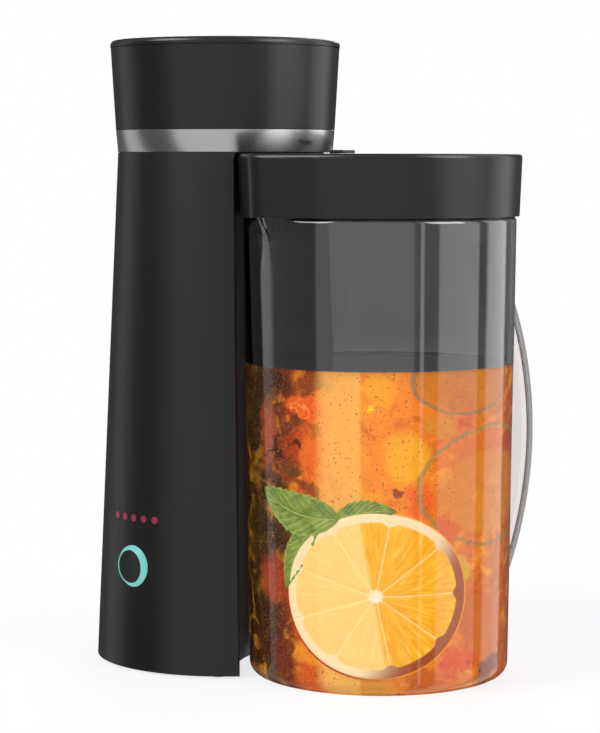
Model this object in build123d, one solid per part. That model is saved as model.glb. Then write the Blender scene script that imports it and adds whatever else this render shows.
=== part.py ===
"""Iced tea maker: a tower that heats water and a lidded pitcher that docks beside it.

Millimetres, +Z up. The power button faces -Y, and the pitcher stands in a round nest on the
tower's right. The tower is drawn about its own axis and the pitcher about its own, with the
pitcher's +X pointing away from the tower. At the end the whole is moved so that the origin lies
under the middle of its bounding box, on the table.
"""
from build123d import *
import math
import os

# ------------------------------------------------------------------ driving sizes
# Tower casing
TOWER_FOOT_RADIUS = 66.3        # straight cone, at table height
TOWER_NECK_RADIUS = 54.3        # same cone, where the trim band starts
NECK_HEIGHT = 256.2
CASING_WALL = 2.5
CASING_LIFT = 1.0               # the casing's edge hangs this far above the table
HORN_ROUND = 0.8                # rounding of the two upright edges beside the nest
# Trim band, head and tower lid
BAND_HEIGHT = 11.4
BAND_FLARE = 1.0
BAND_THICKNESS = 0.8
HEAD_HEIGHT = 40.7
HEAD_FLARE = 2.4
HEAD_FLOOR = 2.5
SPIGOT_DEPTH = 9.0
SPIGOT_WALL = 1.4
TOWER_LID_THICKNESS = 3.5
TOWER_LID_ROUND = 2.4
TOWER_LID_OVERHANG = 0.3
TOWER_LID_RIM_DEPTH = 4.9
HINGE_SETBACK = 3.5             # hinge axis behind the lid's edge
HINGE_KNUCKLE_RADIUS = 3.0
HINGE_PIN_RADIUS = 1.25
HINGE_LID_KNUCKLE = 23.0        # length of the lid's knuckle
HINGE_EAR = 4.0                 # thickness of each ear on the head
# Nest and docking
NEST_DISTANCE = 89.1            # tower axis to pitcher axis
NEST_BEARING = 14.5             # degrees from +X
NEST_CLEARANCE = 1.5            # round the pitcher's lid
DOCK_GAP = 0.8                  # pitcher lid under the head
# Base
BASE_PLATE_THICKNESS = 2.5
FOOT_RADIUS = 5.2
FOOT_POCKET = 1.0
FOOT_INSET = 8.7                # foot centres, in from the casing's edge
FOOT_ANGLES = (61.5, 116.5)     # each side of the nest bearing
BASE_BOSS_INSET = 14.3
BASE_BOSS_ANGLES = (88.0, 150.0)
BASE_BOSS_RADIUS = 4.2
BASE_BOSS_HEIGHT = 12.5
SCREW_RADIUS = 1.5
SCREW_HEAD_RADIUS = 2.8
SCREW_HEAD_HEIGHT = 1.4
# Water tank, deck and outlet
TANK_INSET = 5.0                # inside the casing's neck
TANK_WALL = 1.8
TANK_FLOOR_HEIGHT = 94.0
TANK_GROOVE_RADIUS = 6.0
TANK_RIM = 2.0                  # width of the flange that hangs on the deck
TANK_RIM_THICKNESS = 1.6
TANK_OUTLET_RADIUS = 5.0
TANK_OUTLET_BORE = 3.4
TANK_OUTLET_LENGTH = 15.0
DECK_DEPTH = 8.2                # deck top below the head's rim
DECK_THICKNESS = 2.0
DECK_LEDGE = 3.2
NOZZLE_REACH = 42.0             # from the tower axis, over the pitcher
NOZZLE_RADIUS = 7.0
NOZZLE_HOLE_RADIUS = 0.9
NOZZLE_STEM_RADIUS = 3.0
# Water path
HOSE_RADIUS = 4.1
HOSE_BORE = 3.1
RISER_OFFSET = 8.0              # riser in front of the tower axis, in the tank's groove
RISER_RISE = 27.8               # riser's top run above the head's underside
RISER_BEND = 12.0
FEED_OFFSET_X = 6.0             # tank outlet and check valve
HEATER_HEIGHT = 38.0
HEATER_BEND = 20.0              # half the distance between the heater's legs
HEATER_CENTRE = -26.0
HEATER_LEG = 14.0
HEATER_TUBE_RADIUS = 4.5
ELEMENT_RADIUS = 4.0
ELEMENT_DROP = 8.2
VALVE_RADIUS = 7.0
VALVE_LENGTH = 20.0
LEAD_RADIUS = 0.8               # sleeved wires
LEAD_BEND = 2.5
# Controls
BUTTON_HEIGHT = 52.0
RING_OUTER_RADIUS = 10.25
RING_WIDTH = 1.9
RING_RISE = 1.9
CAP_CLEARANCE = 0.15
CAP_TRAVEL = 1.2
LAMP_HEIGHT = 76.0
LAMP_RADIUS = 1.75
LAMP_SPACING = 6.9
LAMP_COUNT = 5
BOARD_DEPTH = 11.9              # board face behind the casing's front
BOARD_THICKNESS = 1.6
BOARD_WIDTH = 44.0
BOARD_LOW = 28.0
BOARD_HIGH = 90.0
BOARD_POST_INSET = 4.0
BOARD_SCREW_LENGTH = 6.5
RELAY_DEPTH = 12.0
SPRING_RADIUS = 5.3
SPRING_WIRE = 0.4
SPRING_TURNS = 4
GLAND_HEIGHT = 18.0
GLAND_RADIUS = 6.0
GLAND_BORE = 3.4
# Jug
JUG_SHOULDER_RADIUS = 66.8
JUG_FOOT_RADIUS = 63.8
JUG_WALL = 2.4
JUG_FLOOR = 3.2
JUG_FOOT_ROUND = 6.0
JUG_RING_WIDTH = 12.5           # standing ring, with the wall's foot
JUG_RING_HEIGHT = 0.8
JUG_NECK_STEP = 1.0
JUG_RIM_BELOW_LID = 12.4
SPOUT_BEARING = 245.5           # degrees from the pitcher's +X
SPOUT_DROP = 30.8               # lowest point of the spout's fold, below the rim
SPOUT_RAMP = 14.0
SPOUT_REACH = 5.8
HANDLE_BEARING = 65.5
HANDLE_HEIGHT = 115.0           # height of its outermost point
HANDLE_REACH = 92.5             # outer face of the strap, from the jug's axis
HANDLE_HALF_SPAN = 98.0         # from its middle to either end, upright
HANDLE_THICKNESS = 4.0
HANDLE_WIDTH = 17.0
# Pitcher lid
LID_SKIRT_HEIGHT = 30.1
LID_SKIRT_WALL = 2.0
LID_DRAFT = 2.4                 # degrees
LID_SKIRT_GAP = 0.44            # skirt to jug neck
LID_TOP_THICKNESS = 2.5
LID_EDGE_ROUND = 2.0
LID_NOSE_RADIUS = 12.0
LID_NOSE_REACH = 76.0
PLUG_CLEARANCE = 1.1
PLUG_WALL = 2.0
PLUG_DEPTH = 22.4               # below the lid's top
LID_RIB_COUNT = 12
LID_RIB_WIDTH = 1.6
SEAL_HEIGHT = 3.0
SEAL_DEPTH = 18.0
COMB_SPREAD = 26.0              # half the angle that the strainer comb covers
COMB_DROP = 18.0
COMB_SLOTS = 9
COMB_SLOT_WIDTH = 3.0
INLET_RADIUS = 7.0
# Flap in the pitcher lid
FLAP_OFFSET = 8.0
FLAP_RADIUS = 33.0
FLAP_THICKNESS = 2.2
FLAP_GAP = 0.4
FLAP_SEAT = 3.0
FLAP_HINGE_PIN_RADIUS = 1.0
FLAP_KNUCKLE_RADIUS = 2.0
FLAP_CHORD = 3.0                # the disc stops this far before the hinge axis
FLAP_KNUCKLE_LENGTH = 27.0
FLAP_TAB_OFFSET = -21.0
FLAP_TAB_WIDTH = 14.0
FLAP_TAB_LENGTH = 8.0
FLAP_TAB_RISE = 2.0
# Brew basket
BASKET_CLEARANCE = 2.9          # basket wall inside the lid's plug ring
BASKET_DEPTH = 70.0
BASKET_TAPER = 4.4
BASKET_WALL = 1.6
BASKET_FLANGE = 2.5
BASKET_LUGS = 3
BASKET_FLOOR_OPENING = 44.0
BASKET_HUB_RADIUS = 6.0
BASKET_SPOKE_WIDTH = 3.0
BASKET_SLOT_COUNT = 12
BASKET_SLOT_HEIGHT = 24.0
BASKET_SLOT_WIDTH = 3.0
MESH_PITCH = 7.5
MESH_HOLE = 3.2
MESH_THICKNESS = 0.6

SEAT_GAP = 0.3                  # between pieces that rest on or beside each other
PIN_CLEARANCE = 0.06            # running clearance of a hinge pin
PRESS_CLEARANCE = 0.04          # round the ends of a hinge pin
BEYOND = 400.0                  # a cutter that runs out of the whole object

# ------------------------------------------------------------------ worked-out sizes
BAND_TOP = NECK_HEIGHT + BAND_HEIGHT
HEAD_TOP = BAND_TOP + HEAD_HEIGHT
BAND_TOP_RADIUS = TOWER_NECK_RADIUS + BAND_FLARE
HEAD_TOP_RADIUS = BAND_TOP_RADIUS + HEAD_FLARE
TOWER_LID_LOW = HEAD_TOP + SEAT_GAP
TOWER_LID_RADIUS = HEAD_TOP_RADIUS + TOWER_LID_OVERHANG
TOWER_TOP = TOWER_LID_LOW + TOWER_LID_THICKNESS
HINGE_Y = TOWER_LID_RADIUS + HINGE_SETBACK
HINGE_Z = TOWER_LID_LOW + SEAT_GAP
HINGE_PIN_LENGTH = HINGE_LID_KNUCKLE + 1 + 2 * HINGE_EAR
RISER_TOP = NECK_HEIGHT + RISER_RISE

LID_TOP = NECK_HEIGHT - DOCK_GAP
LID_SKIRT_LOW = LID_TOP - LID_SKIRT_HEIGHT
NECK_STEP_HEIGHT = LID_SKIRT_LOW - 0.3
JUG_RIM = LID_TOP - JUG_RIM_BELOW_LID
JUG_NECK_RADIUS = JUG_SHOULDER_RADIUS - JUG_NECK_STEP
JUG_NECK_BORE = JUG_NECK_RADIUS - JUG_WALL
LID_SKIRT_RADIUS = JUG_NECK_RADIUS + LID_SKIRT_GAP + LID_SKIRT_WALL
LID_RADIUS = LID_SKIRT_RADIUS + LID_SKIRT_HEIGHT * math.tan(math.radians(LID_DRAFT))
NEST_RADIUS = LID_RADIUS + NEST_CLEARANCE
PLUG_RADIUS = JUG_NECK_BORE - PLUG_CLEARANCE
PLUG_BORE = PLUG_RADIUS - PLUG_WALL
PLUG_LOW = LID_TOP - PLUG_DEPTH
LID_UNDERSIDE = LID_TOP - LID_TOP_THICKNESS

BASE_TOP = CASING_LIFT + BASE_PLATE_THICKNESS
DECK_TOP = HEAD_TOP - DECK_DEPTH
DECK_LOW = DECK_TOP - DECK_THICKNESS
TANK_RADIUS = TOWER_NECK_RADIUS - TANK_INSET
TANK_NEST_GAP = CASING_WALL + 1.5
TANK_TOP = DECK_TOP + SEAT_GAP + TANK_RIM_THICKNESS

FLAP_LOW = LID_TOP - FLAP_THICKNESS
FLAP_AXIS_X = FLAP_OFFSET + FLAP_RADIUS
FLAP_AXIS_Z = LID_TOP - FLAP_KNUCKLE_RADIUS - 0.2
FLAP_PIN_LENGTH = FLAP_KNUCKLE_LENGTH + 4.6

BASKET_RADIUS = PLUG_BORE - BASKET_CLEARANCE
BASKET_FLANGE_LOW = PLUG_LOW + BASKET_FLANGE + 2 * SEAT_GAP
BASKET_TOP = BASKET_FLANGE_LOW + 2.0
BASKET_LOW = BASKET_TOP - BASKET_DEPTH
BASKET_FOOT_RADIUS = BASKET_RADIUS - BASKET_TAPER

UP = (Align.CENTER, Align.CENTER, Align.MIN)
NEST_TURN = Rot(0, 0, NEST_BEARING)
PITCHER_PLACE = NEST_TURN * Pos(NEST_DISTANCE, 0, 0)


def tower_radius(z):
    """Outer radius of the casing's cone at a height."""
    return TOWER_FOOT_RADIUS + (TOWER_NECK_RADIUS - TOWER_FOOT_RADIUS) * z / NECK_HEIGHT


def head_radius(z):
    """Outer radius of the flared head at a height."""
    return BAND_TOP_RADIUS + HEAD_FLARE * (z - BAND_TOP) / HEAD_HEIGHT


def jug_radius(z):
    """Outer radius of the jug's wall below its shoulder."""
    return JUG_FOOT_RADIUS + (JUG_SHOULDER_RADIUS - JUG_FOOT_RADIUS) * z / LID_SKIRT_LOW


# ------------------------------------------------------------------ plain shapes
def upright(radius, low, high, x=0.0, y=0.0):
    """Cylinder on a vertical axis between two heights."""
    return Pos(x, y, low) * Cylinder(radius, high - low, align=UP)


def frustum(low_radius, high_radius, low, high):
    """Cone frustum about the Z axis between two heights."""
    return Pos(0, 0, low) * Cone(low_radius, high_radius, high - low, align=UP)


def collar(outer, inner, low, high):
    """Plain ring about the Z axis between two heights."""
    return upright(outer, low, high) - upright(inner, low - 1, high + 1)


def along_y(radius, start, end, x=0.0, z=0.0):
    """Cylinder on an axis along +Y between two depths."""
    return Pos(x, start, z) * Rot(-90, 0, 0) * Cylinder(radius, end - start, align=UP)


def along_x(radius, length, y, z):
    """Cylinder on an axis along X, centred on X = 0."""
    return Pos(0, y, z) * Rot(0, 90, 0) * Cylinder(radius, length)


def block(x_range, y_range, z_range):
    """Box given by its low and high limit on each axis."""
    spans = [high - low for low, high in (x_range, y_range, z_range)]
    corner = Pos(x_range[0], y_range[0], z_range[0])
    return corner * Box(*spans, align=(Align.MIN, Align.MIN, Align.MIN))


def turned(outline):
    """Solid of revolution about Z from a closed outline of (radius, height) points."""
    return revolve(Plane.XZ * make_face(Polyline(*outline, close=True)), axis=Axis.Z)


def polar(radius, bearing):
    """Point in plan at a radius and a bearing in degrees."""
    return radius * math.cos(math.radians(bearing)), radius * math.sin(math.radians(bearing))


def group(pieces):
    """Separate solids kept together as one node."""
    return Compound([solid for piece in pieces for solid in piece.solids()])


# ------------------------------------------------------------------ tower plan
def tower_cone(inset, low, high):
    """Frustum that follows the casing, a little inside its outer face."""
    return frustum(tower_radius(low) - inset, tower_radius(high) - inset, low, high)


def nest(extra, low, high):
    """Round space that the docked pitcher fills, with extra radius."""
    return upright(NEST_RADIUS + extra, low, high, NEST_DISTANCE)


def tower_crescent(inset, low, high, nest_gap):
    """Casing cone less the nest, in the frame of the nest axis."""
    return tower_cone(inset, low, high) - nest(nest_gap, low - 1, high + 1)


def tank_plan(grow):
    """Plan of the water tank: a disc less the nest and less the groove for the riser."""
    disc = Circle(TANK_RADIUS + grow)
    scoop = Pos(NEST_DISTANCE, 0) * Circle(NEST_RADIUS + TANK_NEST_GAP - grow)
    groove_radius = TANK_GROOVE_RADIUS - grow
    groove = Pos(RISER_OFFSET, 0) * Circle(groove_radius)
    mouth_length = NEST_DISTANCE - NEST_RADIUS - RISER_OFFSET
    mouth = Pos(RISER_OFFSET, 0) * Rectangle(
        mouth_length, 2 * groove_radius, align=(Align.MIN, Align.CENTER))
    return disc - scoop - groove - mouth


def foot_places():
    """Plan points of the four feet, in the frame of the nest axis."""
    radius = TOWER_FOOT_RADIUS - FOOT_INSET
    return [polar(radius, side * angle) for angle in FOOT_ANGLES for side in (1, -1)]


def base_boss_places():
    """Radius-and-bearing places of the four base screws."""
    return [side * angle for angle in BASE_BOSS_ANGLES for side in (1, -1)]


# ------------------------------------------------------------------ controls: shared depths
BUTTON_FACE = -tower_radius(BUTTON_HEIGHT)
BOARD_FACE = BUTTON_FACE + BOARD_DEPTH
BUTTON_SEAT = BUTTON_FACE + CASING_WALL + 1.4
RING_BORE = RING_OUTER_RADIUS - RING_WIDTH
CAP_RADIUS = RING_BORE - CAP_CLEARANCE
RING_FLANGE_BACK = BUTTON_SEAT + 0.2 + 1.2
LAMP_XS = [LAMP_SPACING * (i - (LAMP_COUNT - 1) / 2) for i in range(LAMP_COUNT)]
BOARD_POSTS = [(side * (BOARD_WIDTH / 2 - BOARD_POST_INSET), z)
               for side in (1, -1)
               for z in (BOARD_LOW + BOARD_POST_INSET, BOARD_HIGH - BOARD_POST_INSET)]
GLAND_FACE = tower_radius(GLAND_HEIGHT)


# ------------------------------------------------------------------ tower parts
def tower_shell():
    """Tapered casing with the concave nest wall, bosses, board posts and front openings."""
    outer = tower_crescent(0, CASING_LIFT, NECK_HEIGHT, 0)
    full_height = outer.edges().filter_by(
        lambda e: e.bounding_box().size.Z > 0.9 * (NECK_HEIGHT - CASING_LIFT))
    horns = full_height.filter_by(lambda e: e.center().X > 0)
    outer = fillet(horns, HORN_ROUND)
    shell = outer - tower_crescent(CASING_WALL, CASING_LIFT - 1, NECK_HEIGHT + 1, CASING_WALL)
    top = BASE_TOP + BASE_BOSS_HEIGHT
    for bearing in base_boss_places():
        x, y = polar(TOWER_FOOT_RADIUS - BASE_BOSS_INSET, bearing)
        rib = Rot(0, 0, bearing) * block(
            (TOWER_FOOT_RADIUS - BASE_BOSS_INSET, TOWER_FOOT_RADIUS), (-1, 1), (BASE_TOP, top))
        shell += upright(BASE_BOSS_RADIUS, BASE_TOP, top, x, y)
        shell += rib & tower_cone(CASING_WALL / 2, CASING_LIFT, top + 1)
        shell -= upright(SCREW_RADIUS, BASE_TOP - 1, top - 2, x, y)
    shell = NEST_TURN * shell
    posts = [along_y(3.0, BUTTON_FACE, BOARD_FACE - 0.1, x, z) for x, z in BOARD_POSTS]
    seat = along_y(RING_OUTER_RADIUS + 2.8, BUTTON_FACE, BUTTON_SEAT, 0, BUTTON_HEIGHT)
    inside_wall = tower_cone(CASING_WALL / 2, CASING_LIFT, NECK_HEIGHT)
    for piece in posts + [seat]:
        shell += piece & inside_wall
    for x, z in BOARD_POSTS:
        shell -= along_y(1.3, BOARD_FACE - BOARD_SCREW_LENGTH + 1, BOARD_FACE + 1, x, z)
    front = BUTTON_FACE - 10
    shell -= along_y(RING_OUTER_RADIUS + 0.15, front, BUTTON_SEAT + 1, 0, BUTTON_HEIGHT)
    for x in LAMP_XS:
        shell -= along_y(LAMP_RADIUS + 0.1, front, BOARD_FACE, x, LAMP_HEIGHT)
    shell -= along_y(GLAND_RADIUS + 0.15, GLAND_FACE - 10, GLAND_FACE + 10, 0, GLAND_HEIGHT)
    return shell


def base_plate():
    """Bottom cover with foot pockets, screw holes and two pads for the heater bracket."""
    inset = CASING_WALL + SEAT_GAP
    plate = tower_crescent(inset, CASING_LIFT, BASE_TOP, inset)
    for x, y in foot_places():
        plate -= upright(FOOT_RADIUS + 0.1, CASING_LIFT - 1, CASING_LIFT + FOOT_POCKET, x, y)
    for bearing in base_boss_places():
        x, y = polar(TOWER_FOOT_RADIUS - BASE_BOSS_INSET, bearing)
        plate -= upright(SCREW_RADIUS + 0.2, CASING_LIFT - 1, BASE_TOP + 1, x, y)
        plate -= upright(SCREW_HEAD_RADIUS + 0.2, CASING_LIFT - 1,
                         CASING_LIFT + SCREW_HEAD_HEIGHT, x, y)
    for y in BRACKET_SCREW_YS:
        plate += upright(4.0, BASE_TOP - 0.5, BASE_TOP + 4, HEATER_CENTRE, y)
        plate -= upright(SCREW_RADIUS, BASE_TOP - 1, BASE_TOP + 5, HEATER_CENTRE, y)
    vents = Pos(HEATER_CENTRE, 0, BASE_TOP) * GridLocations(7, 40, 5, 1) * Box(2.4, 22, 12)
    return NEST_TURN * (plate - vents)


def rubber_feet():
    """Four round pads that carry the tower."""
    pads = []
    for x, y in foot_places():
        pad = upright(FOOT_RADIUS, 0, CASING_LIFT + FOOT_POCKET, x, y)
        pads.append(NEST_TURN * chamfer(pad.edges().group_by(Axis.Z)[0], 0.4))
    return group(pads)


def screw(length):
    """Pan-head screw, head down, with its shank pointing up from the head's top at z = 0."""
    head = Pos(0, 0, -SCREW_HEAD_HEIGHT) * Cylinder(SCREW_HEAD_RADIUS, SCREW_HEAD_HEIGHT, align=UP)
    head = fillet(head.edges().group_by(Axis.Z)[0], SCREW_HEAD_HEIGHT / 3)
    slots = Pos(0, 0, -SCREW_HEAD_HEIGHT) * (Box(3.2, 0.7, 1.2) + Box(0.7, 3.2, 1.2))
    shank = Cylinder(SCREW_RADIUS - 0.05, length, align=UP)
    return head - slots + shank


def base_screws():
    """Four screws that hold the base plate to the casing's bosses."""
    screws = []
    for bearing in base_boss_places():
        x, y = polar(TOWER_FOOT_RADIUS - BASE_BOSS_INSET, bearing)
        screws.append(NEST_TURN * Pos(x, y, CASING_LIFT + SCREW_HEAD_HEIGHT) * screw(11))
    return group(screws)


def trim_band():
    """Flared metal band between the casing and the head."""
    low, high = NECK_HEIGHT + 0.1, BAND_TOP - 0.1
    outer = frustum(TOWER_NECK_RADIUS, BAND_TOP_RADIUS, low, high)
    bore = frustum(TOWER_NECK_RADIUS - BAND_THICKNESS, BAND_TOP_RADIUS - BAND_THICKNESS, low, high)
    return outer - bore


def hinge_ear(x_low):
    """One of the two ears behind the head that hold the tower lid's pin."""
    wall = head_radius(HEAD_TOP) - CASING_WALL / 2
    outline = Polyline((wall - 0.8, HINGE_Z - 16), (wall + 0.6, HINGE_Z - 16),
                       (HINGE_Y + 2.8, HINGE_Z - 1), (HINGE_Y - 2.9, HINGE_Z + 0.8),
                       (wall - 0.4, HEAD_TOP - 0.5), close=True)
    web = extrude(Plane.YZ * make_face(outline), HINGE_EAR)
    knuckle = Pos(HINGE_EAR / 2, 0, 0) * along_x(HINGE_KNUCKLE_RADIUS, HINGE_EAR, HINGE_Y, HINGE_Z)
    return Pos(x_low, 0, 0) * (web + knuckle)


def neck_spigot():
    """Crescent strip under the head that plugs it into the casing."""
    low, high = NECK_HEIGHT - SPIGOT_DEPTH, NECK_HEIGHT + 0.5
    inset = CASING_WALL + SEAT_GAP
    return (tower_crescent(inset, low, high, inset)
            - tower_crescent(inset + SPIGOT_WALL, low - 1, high + 1, inset - 0.6))


def head_shell():
    """Flared head: floor over the nest, collar for the trim band, spigot and hinge ears."""
    collar_gap = BAND_THICKNESS + 0.2
    wall = turned([
        (0, NECK_HEIGHT), (TOWER_NECK_RADIUS - collar_gap, NECK_HEIGHT),
        (BAND_TOP_RADIUS - collar_gap, BAND_TOP), (BAND_TOP_RADIUS, BAND_TOP),
        (HEAD_TOP_RADIUS, HEAD_TOP), (HEAD_TOP_RADIUS - CASING_WALL, HEAD_TOP),
        (head_radius(DECK_LOW) - CASING_WALL, DECK_LOW - 0.2),
        (head_radius(DECK_LOW) - CASING_WALL - DECK_LEDGE, DECK_LOW - 0.2),
        (head_radius(DECK_LOW) - CASING_WALL, DECK_LOW - 0.2 - 1.5 * DECK_LEDGE),
        (BAND_TOP_RADIUS - CASING_WALL, BAND_TOP + 1),
        (TOWER_NECK_RADIUS - CASING_WALL - 1, NECK_HEIGHT + HEAD_FLOOR),
        (0, NECK_HEIGHT + HEAD_FLOOR)])
    low, high = NECK_HEIGHT - 1, NECK_HEIGHT + HEAD_FLOOR + 1
    tank_hole = Pos(0, 0, low) * extrude(tank_plan(0.8), high - low)
    groove_hole = upright(TANK_GROOVE_RADIUS, low, high, RISER_OFFSET - 1)
    wall -= tank_hole + groove_hole
    wall -= upright(NOZZLE_RADIUS + 0.2, low, high, NOZZLE_REACH)
    wall = NEST_TURN * (wall + neck_spigot())
    ear_low = HINGE_LID_KNUCKLE / 2 + 0.5
    wall += hinge_ear(ear_low) + hinge_ear(-ear_low - HINGE_EAR)
    return wall - along_x(HINGE_PIN_RADIUS + PRESS_CLEARANCE, HINGE_PIN_LENGTH + 4, HINGE_Y, HINGE_Z)


def head_deck():
    """Deck inside the head that covers the outlet and carries the water tank."""
    radius = head_radius(DECK_LOW) - CASING_WALL - SEAT_GAP
    plate = upright(radius, DECK_LOW, DECK_TOP)
    opening = Pos(0, 0, DECK_LOW - 1) * extrude(tank_plan(0.25), DECK_THICKNESS + 2)
    return NEST_TURN * (plate - opening)


def tower_lid():
    """Round lid over the filling mouth, with its locating ring and hinge knuckle."""
    disc = frustum(TOWER_LID_RADIUS - 0.15, TOWER_LID_RADIUS, TOWER_LID_LOW, TOWER_TOP)
    disc = fillet(disc.edges().group_by(Axis.Z)[-1], TOWER_LID_ROUND)
    ring_radius = head_radius(HEAD_TOP - TOWER_LID_RIM_DEPTH) - CASING_WALL - 0.55
    ring_low = TOWER_LID_LOW - TOWER_LID_RIM_DEPTH
    disc += collar(ring_radius, ring_radius - 1.8, ring_low, TOWER_LID_LOW + 0.5)
    half = HINGE_LID_KNUCKLE / 2
    disc += along_x(HINGE_KNUCKLE_RADIUS, HINGE_LID_KNUCKLE, HINGE_Y, HINGE_Z)
    disc += block((-half, half), (TOWER_LID_RADIUS - 5, HINGE_Y), (HINGE_Z, HINGE_Z + 2.8))
    return disc - along_x(HINGE_PIN_RADIUS + PIN_CLEARANCE, HINGE_PIN_LENGTH, HINGE_Y, HINGE_Z)


def lid_hinge_pin():
    """Steel pin of the tower lid's hinge."""
    return along_x(HINGE_PIN_RADIUS, HINGE_PIN_LENGTH, HINGE_Y, HINGE_Z)


def water_tank():
    """Crescent tank that hangs from the deck by its rim, with an outlet stub below."""
    height = TANK_TOP - TANK_FLOOR_HEIGHT
    body = Pos(0, 0, TANK_FLOOR_HEIGHT) * extrude(tank_plan(0), height)
    rim_low = DECK_TOP + SEAT_GAP
    body += Pos(0, 0, rim_low) * extrude(tank_plan(TANK_RIM), TANK_RIM_THICKNESS)
    cavity = Pos(0, 0, TANK_FLOOR_HEIGHT + 2) * extrude(tank_plan(-TANK_WALL), height)
    low = TANK_FLOOR_HEIGHT - TANK_OUTLET_LENGTH
    x, y = FEED_OFFSET_X, -HEATER_BEND
    body = body - cavity + upright(TANK_OUTLET_RADIUS, low, TANK_FLOOR_HEIGHT + 1, x, y)
    return NEST_TURN * (body - upright(TANK_OUTLET_BORE, low - 1, TANK_FLOOR_HEIGHT + 5, x, y))


TANK_OUTLET_LOW = TANK_FLOOR_HEIGHT - TANK_OUTLET_LENGTH
VALVE_SOCKET_LOW = TANK_OUTLET_LOW - 1.6
VALVE_TOP = VALVE_SOCKET_LOW + 9
VALVE_LOW = VALVE_TOP - VALVE_LENGTH
BARB_RADIUS = HOSE_BORE - 0.1
BARB_LENGTH = 8.0
BARB_TEETH = 3
BARB_TOOTH = 0.4


def tank_seal():
    """Ring seal between the tank's outlet and the check valve."""
    seal = collar(TANK_OUTLET_RADIUS, TANK_OUTLET_BORE, VALVE_SOCKET_LOW + 0.1,
                  TANK_OUTLET_LOW - 0.1)
    return NEST_TURN * Pos(FEED_OFFSET_X, -HEATER_BEND, 0) * seal


def check_valve():
    """Non-return valve that hangs from the tank's outlet, with a hose barb below."""
    body = upright(VALVE_RADIUS, VALVE_LOW, VALVE_TOP)
    body += collar(VALVE_RADIUS + 1.2, VALVE_RADIUS - 1, VALVE_TOP - 4, VALVE_TOP - 1)
    tooth = BARB_LENGTH / BARB_TEETH
    for i in range(BARB_TEETH):
        top = VALVE_LOW - i * tooth
        body += frustum(BARB_RADIUS - BARB_TOOTH, BARB_RADIUS, top - tooth, top)
    body -= upright(TANK_OUTLET_RADIUS + 0.1, VALVE_SOCKET_LOW, VALVE_TOP + 1)
    body -= upright(1.8, VALVE_LOW - BARB_LENGTH - 1, VALVE_TOP)
    return NEST_TURN * Pos(FEED_OFFSET_X, -HEATER_BEND, 0) * body


def hose(points, radii):
    """Flexible tube along straight runs joined by arcs."""
    path = FilletPolyline(*points, radius=radii)
    section = Plane(path @ 0, z_dir=path % 0) * (Circle(HOSE_RADIUS) - Circle(HOSE_BORE))
    return NEST_TURN * sweep(section, path)


HEATER_END = HEATER_CENTRE + HEATER_LEG


def inlet_hose():
    """Hose from the check valve down to the heater's inlet."""
    x, y = FEED_OFFSET_X, -HEATER_BEND
    points = [(x, y, VALVE_LOW - 0.3), (x, y, HEATER_HEIGHT), (HEATER_END + 0.3, y, HEATER_HEIGHT)]
    return hose(points, [8.0])


def riser_tube():
    """Hose from the heater's outlet up the tank's groove and over to the outlet nozzle."""
    y = HEATER_BEND
    points = [
        (HEATER_END + 0.3, y, HEATER_HEIGHT), (RISER_OFFSET, y, HEATER_HEIGHT),
        (RISER_OFFSET, y, HEATER_HEIGHT + 24), (RISER_OFFSET, 0, HEATER_HEIGHT + 46),
        (RISER_OFFSET, 0, RISER_TOP), (NOZZLE_REACH, 0, RISER_TOP),
        (NOZZLE_REACH, 0, NECK_HEIGHT + HEAD_FLOOR + 2.4)]
    return hose(points, [8.0, 9.0, 9.0, RISER_BEND, RISER_BEND])


def heater_path(z, start, end):
    """Horseshoe path of the heater at a height, with its legs ending at start and end."""
    y = HEATER_BEND
    return (Line((start, y, z), (HEATER_CENTRE, y, z))
            + ThreePointArc((HEATER_CENTRE, y, z), (HEATER_CENTRE - y, 0, z), (HEATER_CENTRE, -y, z))
            + Line((HEATER_CENTRE, -y, z), (end, -y, z)))


def heater_tube():
    """Cast horseshoe: a water tube with the heating element's tube brazed below it."""
    path = heater_path(HEATER_HEIGHT, HEATER_END, HEATER_END)
    plane = Plane(path @ 0, x_dir=(0, 1, 0), z_dir=path % 0)
    drop = ELEMENT_DROP if plane.y_dir.Z < 0 else -ELEMENT_DROP
    section = Circle(HEATER_TUBE_RADIUS) + Pos(0, drop) * Circle(ELEMENT_RADIUS)
    section += Pos(0, drop / 2) * Rectangle(4, ELEMENT_DROP)
    section -= Circle(BARB_RADIUS - 0.9)
    body = sweep(plane * section, path)
    for y in (HEATER_BEND, -HEATER_BEND):
        nipple = Pos(HEATER_END - 1, y, HEATER_HEIGHT) * Rot(0, 90, 0)
        body += nipple * (Cylinder(BARB_RADIUS, BARB_LENGTH, align=UP)
                          - Cylinder(BARB_RADIUS - 0.9, BARB_LENGTH, align=UP))
    return NEST_TURN * body


def heater_terminals():
    """Ceramic-sleeved ends of the heating element with their tabs."""
    ends = []
    for y in (HEATER_BEND, -HEATER_BEND):
        place = Pos(HEATER_END + 0.05, y, HEATER_HEIGHT - ELEMENT_DROP)
        sleeve = place * Rot(0, 90, 0) * Cylinder(2.6, 5, align=UP)
        tab = place * Pos(8, 0, 0) * Box(8, 0.8, 4.4)
        ends.append(NEST_TURN * (sleeve + tab))
    return group(ends)


BRACKET_LEG_Y = HEATER_BEND + HEATER_TUBE_RADIUS + 4.0
BRACKET_SCREW_YS = (BRACKET_LEG_Y + 6.0, -BRACKET_LEG_Y - 6.0)
BRACKET_SHEET = 1.5
BRACKET_WIDTH = 16.0
BRACKET_LOW = HEATER_HEIGHT + HEATER_TUBE_RADIUS + SEAT_GAP
BRACKET_FOOT_LOW = BASE_TOP + 4.1


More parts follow.
